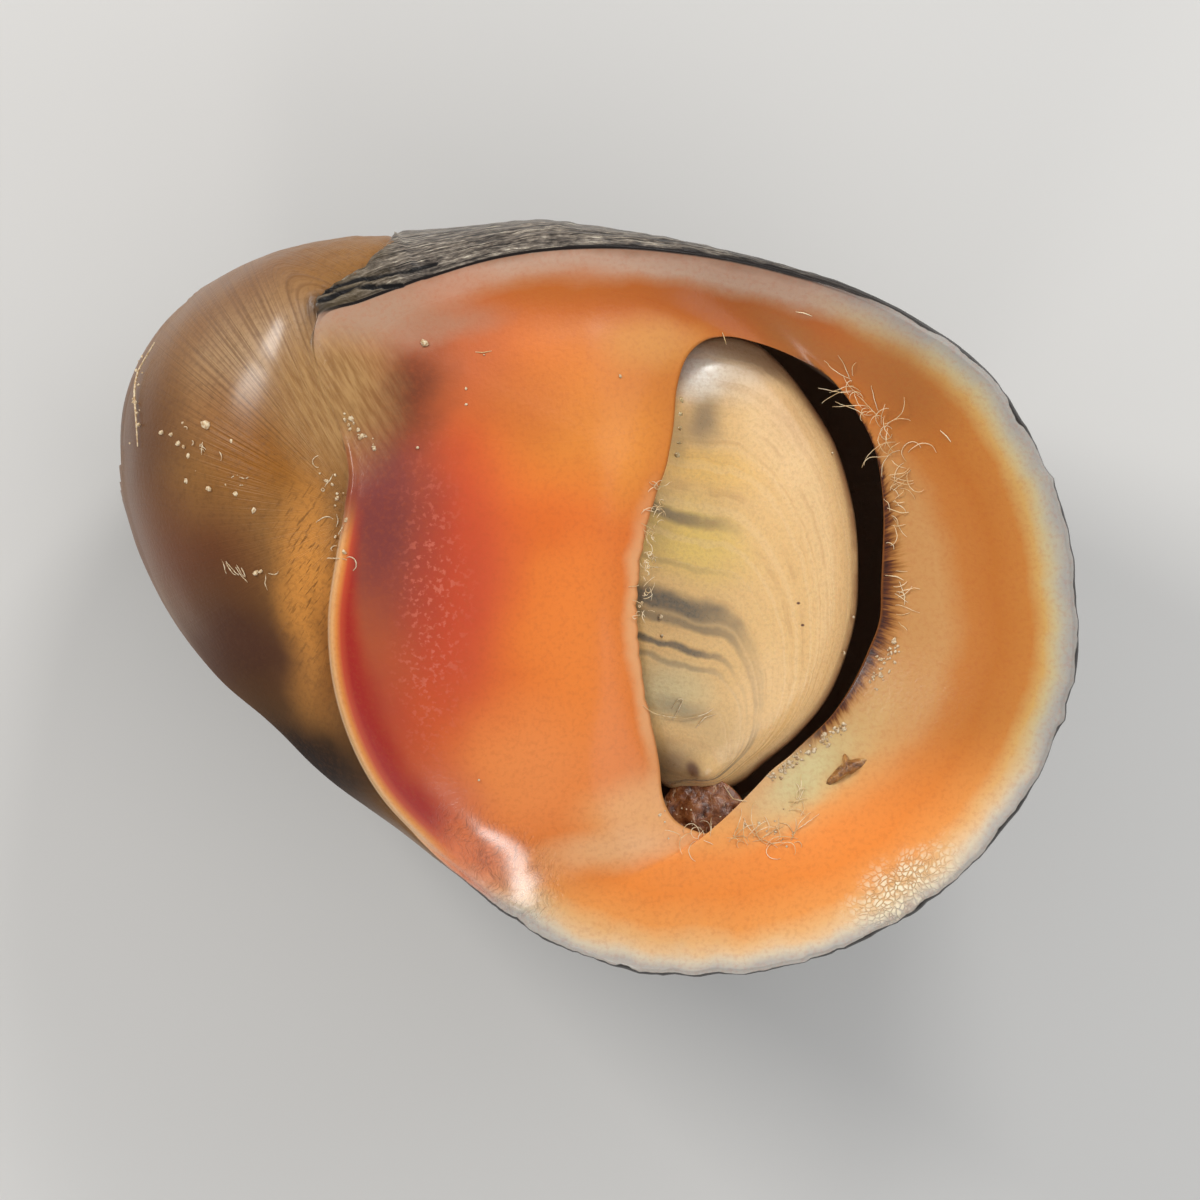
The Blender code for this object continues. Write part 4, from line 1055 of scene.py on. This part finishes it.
def paintDoor():
    # satin lime: soft spots, among them a painted highlight, painted shade and a painted shadow, growth lines
    # in patches, grey bands by age, smudges, fine dots, a dark rim
    paint = doorPaint
    material, tree, shader = newMaterial("doorLime", 0.33, coat=0.5, coatRoughness=0.16, subsurface=0.08)
    place, broken = places(tree, 0.5, 0.9)
    x = put(tree, "SeparateXYZ", {0: place}).outputs["X"]
    lump = calc(tree, "SUBTRACT", speckle(tree, place, 0.9, 3.0, 0.55), 0.5)
    wavy = waved(tree, field(tree, "age"), lump, 0.035)
    outer = product(tree, eased(tree, wavy, *paint["outerFrom"]), eased(tree, x, *paint["outerPlace"]))
    colour = painted(tree, mixed(tree, outer, paint["tone"], paint["outer"]), broken, paint["spots"])
    lines = lineNoise(tree, calc(tree, "MULTIPLY", wavy, doorForm["ridgeScale"]), 0.38, 3.0, 0.6)
    patches = dots(tree, place, (1.3, 2.0, 0.5), (0.42, 0.62), 0.32)
    colour = mixed(tree, product(tree, eased(tree, lines, 0.48, 0.70), patches), colour, paint["brown"])
    colour = mixed(tree, eased(tree, lines, 0.46, 0.30, 0.0, 0.25), colour, paint["cream"])
    for at, width, strength, fadesOut in paint["bands"]:
        off = calc(tree, "ABSOLUTE", calc(tree, "SUBTRACT", wavy, at))
        share = product(tree, eased(tree, off, width, width * 0.2), strength,
                        eased(tree, waved(tree, x, lump, 1.5), *fadesOut, 1.0, 0.0))
        colour = mixed(tree, share, colour, paint["grey"])
    colour = painted(tree, colour, broken, paint["smudges"])
    fine = speckle(tree, place, 0.11, 3.0, 0.65)
    colour = mixed(tree, eased(tree, fine, 0.35, 0.80, 0.0, 0.35), colour, paint["fineTone"])
    for *mark, tone in paint["marks"]:
        colour = mixed(tree, spotMask(tree, place, *mark), colour, tone)
    rim = product(tree, eased(tree, field(tree, "edgeWay"), 0.14, -0.04),
                  eased(tree, lump, -0.25, 0.10, 0.45, 0.85))
    colour = mixed(tree, rim, colour, paint["rim"])
    height = calc(tree, "ADD", product(tree, lines, 0.020), product(tree, fine, 0.012))
    finished(tree, shader, colour, height, eased(tree, fine, 0.3, 0.7, 0.26, 0.42))
    return material


dress(door, paintDoor(), "operculum", "operculum")
print("operculum:", len(door.data.polygons), "faces")

scrapForm = dict(
    columns=96, rows=22, centre=(2.92, -5.9),
    outline=((0, 1.16), (35, 0.98), (62, 0.90), (90, 0.84), (120, 0.92), (150, 1.06), (175, 1.16),
             (200, 1.12), (225, 1.05), (250, 0.98), (280, 1.02), (310, 1.08), (335, 1.14)),
    height=11.6, crown=0.25, thickness=0.35, slope=0.25, creases=((0.45, 0.10), (0.16, 0.04)),
    stops=((0.30, (0.05, 0.014, 0.005)), (0.46, (0.19, 0.055, 0.014)), (0.60, (0.32, 0.11, 0.030)),
           (0.78, (0.52, 0.26, 0.11))), scratches=0.45, scratchTone=(0.62, 0.42, 0.26),
)


def lumpRows(form, seed):
    # a lumpy lens: shares of its outline on a sloping crown, with creased noise, over a flat underside
    angle = np.arange(form["columns"]) * 360 / form["columns"]
    centre = np.array(form["centre"])
    outline = ringPoints(around(form["outline"], angle), angle, centre)
    share = np.linspace(0, 1, form["rows"] + 1)[1:, None]
    plan = centre + (outline - centre) * share[..., None]
    flat = lifted(plan, 0 * plan[..., 0])
    lump = sum(depth * grain(flat, size, seed + number)
               for number, (size, depth) in enumerate(form["creases"]))
    slope = form["slope"] * (plan[..., 1] - centre[1])
    top = lifted(plan, form["height"] + form["crown"] * (1 - share ** 2) - slope + lump * (1 - share ** 6))
    share = np.linspace(1, 0, form["rows"] // 2 + 1)[1:-1, None]
    plan = centre + (outline - centre) * share[..., None]
    slope = form["slope"] * (plan[..., 1] - centre[1])
    under = lifted(plan, form["height"] - form["thickness"] - slope)
    tip = form["height"] + form["crown"]
    return np.concatenate((top, under)), (*centre, tip), (*centre, form["height"] - form["thickness"])


def paintFlesh(name, form):
    # mottled by a ramp over noise, scratched with drawn-out noise, and a little translucent
    material, tree, shader = newMaterial(name, 0.36, coat=0.12, coatRoughness=0.2, subsurface=0.15)
    broken = places(tree, 0.4, 0.4)[1]
    patch = speckle(tree, broken, 0.35, 4.0, 0.65)
    drawn = put(tree, "Mapping", {"Vector": broken, "Scale": (9.0, 1.6, 1.6)}).outputs[0]
    scratch = dots(tree, drawn, (1.0, 2.0, 0.5), (0.62, 0.70), form["scratches"])
    colour = mixed(tree, scratch, ramp(tree, patch, form["stops"]), scrapForm["scratchTone"])
    finished(tree, shader, colour, product(tree, patch, 0.08))
    return material


scrapPoints, scrapTop, scrapUnder = lumpRows(scrapForm, 61)
scrap = closedSkin("driedFoot", scrapPoints, scrapTop, scrapUnder, downwards=True)
dress(scrap, paintFlesh("driedFlesh", scrapForm), "dried_tissue", "dried_tissue")
print("dried foot:", len(scrap.data.polygons), "faces")


# The small loose things on the front: each rests on whatever surface is under it.

firstFront = shellForm["rows"]["back"] + 1
lastFront = firstFront + shellForm["rows"]["edge"] + shellForm["rows"]["face"]
frontRows = (shellPoints[firstFront:lastFront], doorPoints[:doorForm["rows"]["top"]],
             scrapPoints[:scrapForm["rows"]])
frontPoints = np.concatenate([rows.reshape(-1, 3) for rows in frontRows])


def restHeight(plan, spread=0.07):
    # highest-weighted mean height of the front's points near each place: weights fall off as a Gaussian with
    # the distance and grow with the height, so the upper of two surfaces wins
    flat = plan.reshape(-1, 2)
    low, high = flat.min(0) - 0.6, flat.max(0) + 0.6
    near = frontPoints[((frontPoints[:, :2] > low) & (frontPoints[:, :2] < high)).all(1)]
    squared = ((flat[:, None] - near[None, :, :2]) ** 2).sum(2)
    power = -squared / (2 * spread ** 2) + 6.0 * near[None, :, 2]
    weight = np.exp(power - power.max(1, keepdims=True))
    return ((weight * near[None, :, 2]).sum(1) / weight.sum(1)).reshape(plan.shape[:-1])


def curledPaths(count, line, heading, length, curl, rise, seed, steps=14):
    # strands that start near a line and wander: the heading turns steadily, plus a little noise, and the
    # height is the ground's plus an arch
    rng = np.random.default_rng(seed)
    start, end = np.array(line[0]), np.array(line[1])
    root = start + (end - start) * rng.random((count, 1)) + rng.normal(0, 0.08, (count, 2))
    turn = np.radians(heading[0] + heading[1] * rng.normal(size=(count, 1)))
    size = length[0] + (length[1] - length[0]) * rng.random((count, 1))
    share = np.linspace(0, 1, steps)
    bend = np.radians(curl) * rng.normal(size=(count, 1))
    wiggle = np.cumsum(rng.normal(0, 0.12, (count, steps)), axis=1)
    way = turn + bend * share + wiggle
    step = np.stack((np.cos(way), np.sin(way)), -1) * (size / steps)[..., None]
    plan = root[:, None] + np.cumsum(step, axis=1)
    arch = rise * rng.random((count, 1)) * np.sin(share * math.pi * 0.9)
    ground = restHeight(plan)
    ground = np.maximum(ground, ground.max(axis=1, keepdims=True) - 0.3)
    return lifted(plan, ground + arch)


def drawnPath(corners, lift=0.0, steps=18):
    # one strand through listed corners, smoothed, resting on the ground or lifted in its middle
    corners = np.array(corners, float)
    along = np.linspace(0, len(corners) - 1, steps)
    plan = np.stack([np.interp(along, np.arange(len(corners)), corners[:, axis]) for axis in (0, 1)], -1)
    plan[1:-1] = (plan[:-2] + plan[1:-1] + plan[2:]) / 3
    arch = lift * np.sin(np.linspace(0, math.pi, steps))
    return lifted(plan[None], restHeight(plan)[None] + arch)


def strandMesh(name, paths, thickness, sides=5):
    # tubes round each path, five-sided, thinning to both ends, with a tip at each end
    count, steps = paths.shape[:2]
    along = np.gradient(paths, axis=1)
    along /= np.linalg.norm(along, axis=-1, keepdims=True)
    side = np.cross(along, (0.13, 0.21, 0.97))
    side /= np.linalg.norm(side, axis=-1, keepdims=True)
    up = np.cross(side, along)
    swell = 0.45 + 0.55 * np.sin(np.linspace(0.12, math.pi - 0.12, steps))
    radius = thickness / 2 * swell[None, :, None, None]
    turn = np.arange(sides)[:, None] * 2 * math.pi / sides
    ring = paths[:, :, None] + radius * (np.cos(turn) * side[:, :, None] + np.sin(turn) * up[:, :, None])
    tips = np.concatenate((paths[:, 0] - along[:, 0] * thickness / 3,
                           paths[:, -1] + along[:, -1] * thickness / 3))
    index = np.arange(count * steps * sides).reshape(count, steps, sides)
    beside = np.roll(index, -1, axis=2)
    quads = np.stack((index[:, :-1], index[:, 1:], beside[:, 1:], beside[:, :-1]), -1).reshape(-1, 4)
    first = count * steps * sides + np.arange(count)[:, None] + 0 * index[:, 0]
    caps = np.concatenate((np.stack((first, index[:, 0], beside[:, 0]), -1).reshape(-1, 3),
                           np.stack((first + count, beside[:, -1], index[:, -1]), -1).reshape(-1, 3)))
    return newMesh(name, np.concatenate((ring.reshape(-1, 3), tips)), [*quads.tolist(), *caps.tolist()])


def grainMesh(name, plan, size, flat, seed):
    # small pebbles: three bands of six corners between two poles, each squashed, turned and uneven
    rng = np.random.default_rng(seed)
    count, bands, sides = len(plan), 3, 6
    corners = bands * sides
    polar = (np.arange(bands) + 1)[:, None] * math.pi / (bands + 1)
    turn = np.arange(sides) * 2 * math.pi / sides
    ball = np.stack((np.sin(polar) * np.cos(turn), np.sin(polar) * np.sin(turn),
                     np.cos(polar) + 0 * turn), -1)
    ball = np.concatenate((ball.reshape(-1, 3), ((0, 0, 1), (0, 0, -1))))
    scale = size[:, None] * (0.7 + 0.6 * rng.random((count, 3))) * (1, 1, flat)
    body = ball * scale[:, None] * (1 + 0.16 * rng.normal(size=(count, corners + 2, 1)))
    angle = rng.random(count)[:, None] * 2 * math.pi
    turned = np.stack((body[..., 0] * np.cos(angle) - body[..., 1] * np.sin(angle),
                       body[..., 0] * np.sin(angle) + body[..., 1] * np.cos(angle), body[..., 2]), -1)
    middle = lifted(plan, restHeight(plan) + size * flat * 0.4)
    ring = np.arange(corners).reshape(bands, sides)
    beside = np.roll(ring, -1, axis=1)
    quads = np.stack((ring[:-1], ring[1:], beside[1:], beside[:-1]), -1).reshape(-1, 4)
    caps = np.concatenate((np.stack((corners + 0 * ring[0], ring[0], beside[0]), -1),
                           np.stack((corners + 1 + 0 * ring[-1], beside[-1], ring[-1]), -1)))
    shift = (corners + 2) * np.arange(count)[:, None, None]
    faces = [*(quads + shift).reshape(-1, 4).tolist(), *(caps + shift).reshape(-1, 3).tolist()]
    return newMesh(name, (turned + middle[:, None]).reshape(-1, 3), faces)


loose = dict(
    # strands: how many, the line they start on, heading and its spread, length, curl, arch, seed; and
    # threads: their corners and how high the middle arches
    fringes=(
        (64, ((1.72, 3.25), (1.12, -0.6)), (100, 90), (0.12, 0.50), 220, 0.10, 71),
        (40, ((7.1, 6.2), (8.9, 3.6)), (150, 55), (0.45, 1.25), 110, 0.20, 72),
        (26, ((8.2, 3.4), (8.35, -0.6)), (10, 35), (0.30, 0.80), 70, 0.10, 73),
        (34, ((2.3, -6.75), (5.6, -6.9)), (80, 60), (0.35, 1.10), 120, 0.16, 74),
        (12, ((4.6, -6.6), (5.7, -5.6)), (60, 60), (0.25, 0.70), 120, 0.10, 75),
    ),
    fringeThickness=0.022,
    threads=(
        (((8.12, 2.56), (8.5, 2.42), (8.72, 2.44)), 0.10), (((8.07, 0.66), (8.40, 0.62), (8.58, 0.52)), 0.08),
        (((3.45, 7.50), (3.52, 7.30), (3.56, 7.17)), 0.06),
        (((3.50, -5.28), (3.75, -5.66), (4.15, -5.72)), 0.15),
        (((1.20, -3.00), (1.50, -3.24), (1.95, -3.34), (2.46, -3.40), (3.00, -3.25), (3.20, -3.10)), 0.06),
        (((2.02, -3.10), (2.20, -2.82), (2.36, -2.84), (2.22, -3.12), (2.05, -3.42)), 0.05),
        (((2.70, -3.65), (2.95, -3.35), (3.30, -3.25)), 0.04),
        (((5.52, 8.08), (5.75, 8.05), (5.98, 7.96)), 0.02),
        (((9.60, 4.74), (9.78, 4.58), (9.90, 4.42)), 0.02),
        (((-3.50, 6.93), (-3.30, 6.91), (-3.05, 6.96)), 0.02),
    ),
    threadThickness=0.032,
    scribbles=(
        (9, ((-7.9, 3.8), (-7.1, 1.0)), (100, 50), (0.25, 0.80), 200, 0.01, 76),
        (10, ((-11.9, 4.9), (-9.7, 2.9)), (80, 60), (0.15, 0.45), 200, 0.01, 77),
        (8, ((-11.4, 1.2), (-9.2, 0.6)), (-60, 25), (0.25, 0.65), 40, 0.01, 78),
    ),
    scribbleThickness=0.035,
    peeled=(((-12.62, 7.25), (-12.92, 6.75), (-13.12, 6.40), (-13.20, 5.85), (-13.12, 5.10), (-13.07, 4.30)),
            0.02),
    peeledThickness=0.07,
    # crust: how many, the line they lie along, how far they scatter, and their smallest and largest size
    crusts=(
        (80, ((4.75, -5.15), (6.9, -3.62)), 0.08, (0.030, 0.085), 81),
        (34, ((7.72, -2.5), (8.4, -1.2)), 0.11, (0.030, 0.075), 82),
        (46, ((1.8, -6.1), (5.6, -6.6)), 0.22, (0.020, 0.050), 83),
        (14, ((-12.2, 5.2), (-10.4, 2.9)), 0.50, (0.040, 0.110), 84),
        (16, ((-7.1, 5.2), (-6.4, 4.2)), 0.12, (0.030, 0.080), 85),
        (12, ((-7.6, 3.8), (-7.2, 1.2)), 0.14, (0.035, 0.080), 86),
        (14, ((-13.0, 6.9), (-13.2, 4.2)), 0.10, (0.030, 0.070), 87),
    ),
    crustFlatness=0.45,
    # dust: its place and size
    dust=((-4.92, 7.17, 0.105), (-3.76, 5.90, 0.04), (-3.76, 5.45, 0.04), (-5.12, 4.23, 0.05),
          (0.57, 6.24, 0.045), (-9.68, 0.72, 0.085), (-9.55, 0.76, 0.06), (6.90, -1.54, 0.055),
          (7.16, -0.52, 0.05), (6.57, 4.12, 0.04), (-3.26, 6.85, 0.03), (-3.4, -5.1, 0.035),
          (1.70, -0.52, 0.07), (1.75, -1.05, 0.06)),
    beads=((2.29, 5.6), (2.26, 5.2), (2.25, 4.8), (2.22, 4.4), (2.18, 4.05)), beadSize=0.09,
    flake=dict(columns=48, rows=12, centre=(6.95, -4.80), crown=0.20, thickness=0.10, slope=0.15, height=0.0,
               outline=((0, 0.44), (25, 0.76), (42, 0.44), (70, 0.27), (98, 0.42), (115, 0.27), (165, 0.22),
                        (200, 0.42), (218, 0.72), (240, 0.40), (275, 0.19), (325, 0.26)),
               creases=((0.35, 0.07), (0.12, 0.03)), scratches=0.2,
               stops=((0.32, (0.10, 0.035, 0.010)), (0.48, (0.30, 0.125, 0.030)),
                      (0.66, (0.58, 0.32, 0.10)))),
)


def paintPlain(name, low, high, size, roughness):
    # two tones mottled at the given size, with a fine bump
    material, tree, shader = newMaterial(name, roughness, subsurface=0.1)
    spots = speckle(tree, places(tree, 0.1, 0.3)[0], size, 3.0, 0.6)
    finished(tree, shader, mixed(tree, eased(tree, spots, 0.38, 0.62), low, high), product(tree, spots, 0.03))
    return material


def scattered(count, line, scatter, size, seed):
    # places strewn along a line, more of them small than large
    rng = np.random.default_rng(seed)
    plan = np.array(line[0]) + (np.array(line[1]) - line[0]) * rng.random((count, 1))
    return plan + rng.normal(0, scatter, (count, 2)), size[0] + (size[1] - size[0]) * rng.random(count) ** 2


def makeLoose():
    # fibres and threads, limy scribbles and crusts, dust, beads on the door's edge, and one folded flake
    fibre = paintPlain("driedFibre", (0.66, 0.44, 0.20), (0.90, 0.74, 0.48), 0.5, 0.45)
    crust = paintPlain("limeCrust", (0.48, 0.30, 0.15), (0.80, 0.64, 0.42), 0.09, 0.6)
    strands = [strandMesh("fringe%d" % number, curledPaths(*group), loose["fringeThickness"])
               for number, group in enumerate(loose["fringes"])]
    strands += [strandMesh("thread%d" % number, drawnPath(*thread), loose["threadThickness"])
                for number, thread in enumerate(loose["threads"])]
    for piece in strands:
        dress(piece, fibre, "dried_tissue")
    limy = [strandMesh("scribble%d" % number, curledPaths(*group), loose["scribbleThickness"])
            for number, group in enumerate(loose["scribbles"])]
    limy.append(strandMesh("peeled", drawnPath(*loose["peeled"]), loose["peeledThickness"]))
    limy += [grainMesh("crust%d" % number, *scattered(*group), loose["crustFlatness"], group[-1])
             for number, group in enumerate(loose["crusts"])]
    dust = np.array(loose["dust"])
    limy.append(grainMesh("dust", dust[:, :2], dust[:, 2], 0.7, 91))
    for piece in limy:
        dress(piece, crust, "shell")
    beads = np.array(loose["beads"])
    bead = paintPlain("glossyBead", (0.30, 0.20, 0.08), (0.62, 0.48, 0.26), 0.2, 0.12)
    dress(grainMesh("edgeBeads", beads, loose["beadSize"] + 0 * beads[:, 0], 0.6, 92), bead, "dried_tissue")
    flake = dict(loose["flake"])
    flake["height"] = float(restHeight(np.array([flake["centre"]]))[0])
    piece = closedSkin("flake", *lumpRows(flake, 95), downwards=True)
    dress(piece, paintFlesh("brownFlake", flake), "dried_tissue")


makeLoose()
print("loose pieces ready")


# Light, floor and camera. The lights face the aim.

studio = dict(
    floor=(0.66, 0.65, 0.63), floorReach=400, aim=(0, 0, 8), sensor=36,
    # name, place, size, power and colour of each box light
    lights=(
        ("key", (-139, 97, 115), (56, 46), 0.205, (1.0, 0.97, 0.93)),
        ("low", (-58, -182, 50), (46, 30), 0.09, (1.0, 0.98, 0.95)),
        ("top", (46, 148, 120), (48, 38), 0.11, (1.0, 0.99, 0.97)),
        ("fill", (122, -102, 133), (130, 110), 0.082, (1.0, 0.99, 0.97)),
        ("side", (120, 110, 120), (150, 120), 0.08, (0.95, 0.97, 1.0)),
    ),
    air=(0.80, 0.82, 0.85), airPower=0.50,
    distance=600, pictureWidth=33.96, lookAt=(0.0, -0.04, 10.0),
)


def makeLight(name, at, size, power, colour):
    # a box light that faces the aim
    data = bpy.data.lights.new(name, "AREA")
    data.shape = "RECTANGLE"
    data.size, data.size_y = size[0] * mm, size[1] * mm
    data.energy = power
    data.color = colour
    lamp = bpy.data.objects.new(name, data)
    lamp.location = Vector(at) * mm
    lamp.rotation_euler = (Vector(studio["aim"]) - Vector(at)).to_track_quat("-Z", "Y").to_euler()
    bpy.context.scene.collection.objects.link(lamp)


def makeStudio():
    # floor, soft box lights, and a far camera straight above
    reach = studio["floorReach"]
    floor = newMesh("floor", np.array([(-reach, -reach, 0), (reach, -reach, 0), (reach, reach, 0),
                                       (-reach, reach, 0)], float), [(0, 1, 2, 3)])
    material, shader = newMaterial("paleFloor", 0.8)[::2]
    shader.inputs["Base Color"].default_value = wide(studio["floor"])
    floor.data.materials.append(material)
    for light in studio["lights"]:
        makeLight(*light)
    world = bpy.data.worlds.new("air")
    world.use_nodes = True
    world.node_tree.nodes["Background"].inputs["Color"].default_value = wide(studio["air"])
    world.node_tree.nodes["Background"].inputs["Strength"].default_value = studio["airPower"]
    scene = bpy.context.scene
    scene.world = world
    scene.view_settings.view_transform = "Standard"
    camera = bpy.data.cameras.new("above")
    camera.sensor_width = studio["sensor"]
    camera.lens = studio["sensor"] * studio["distance"] / studio["pictureWidth"]
    camera.clip_start, camera.clip_end = 0.01, 10
    scene.camera = bpy.data.objects.new("above", camera)
    x, y, z = studio["lookAt"]
    scene.camera.location = (x * mm, y * mm, (z + studio["distance"]) * mm)
    scene.collection.objects.link(scene.camera)


makeStudio()
print("studio ready")
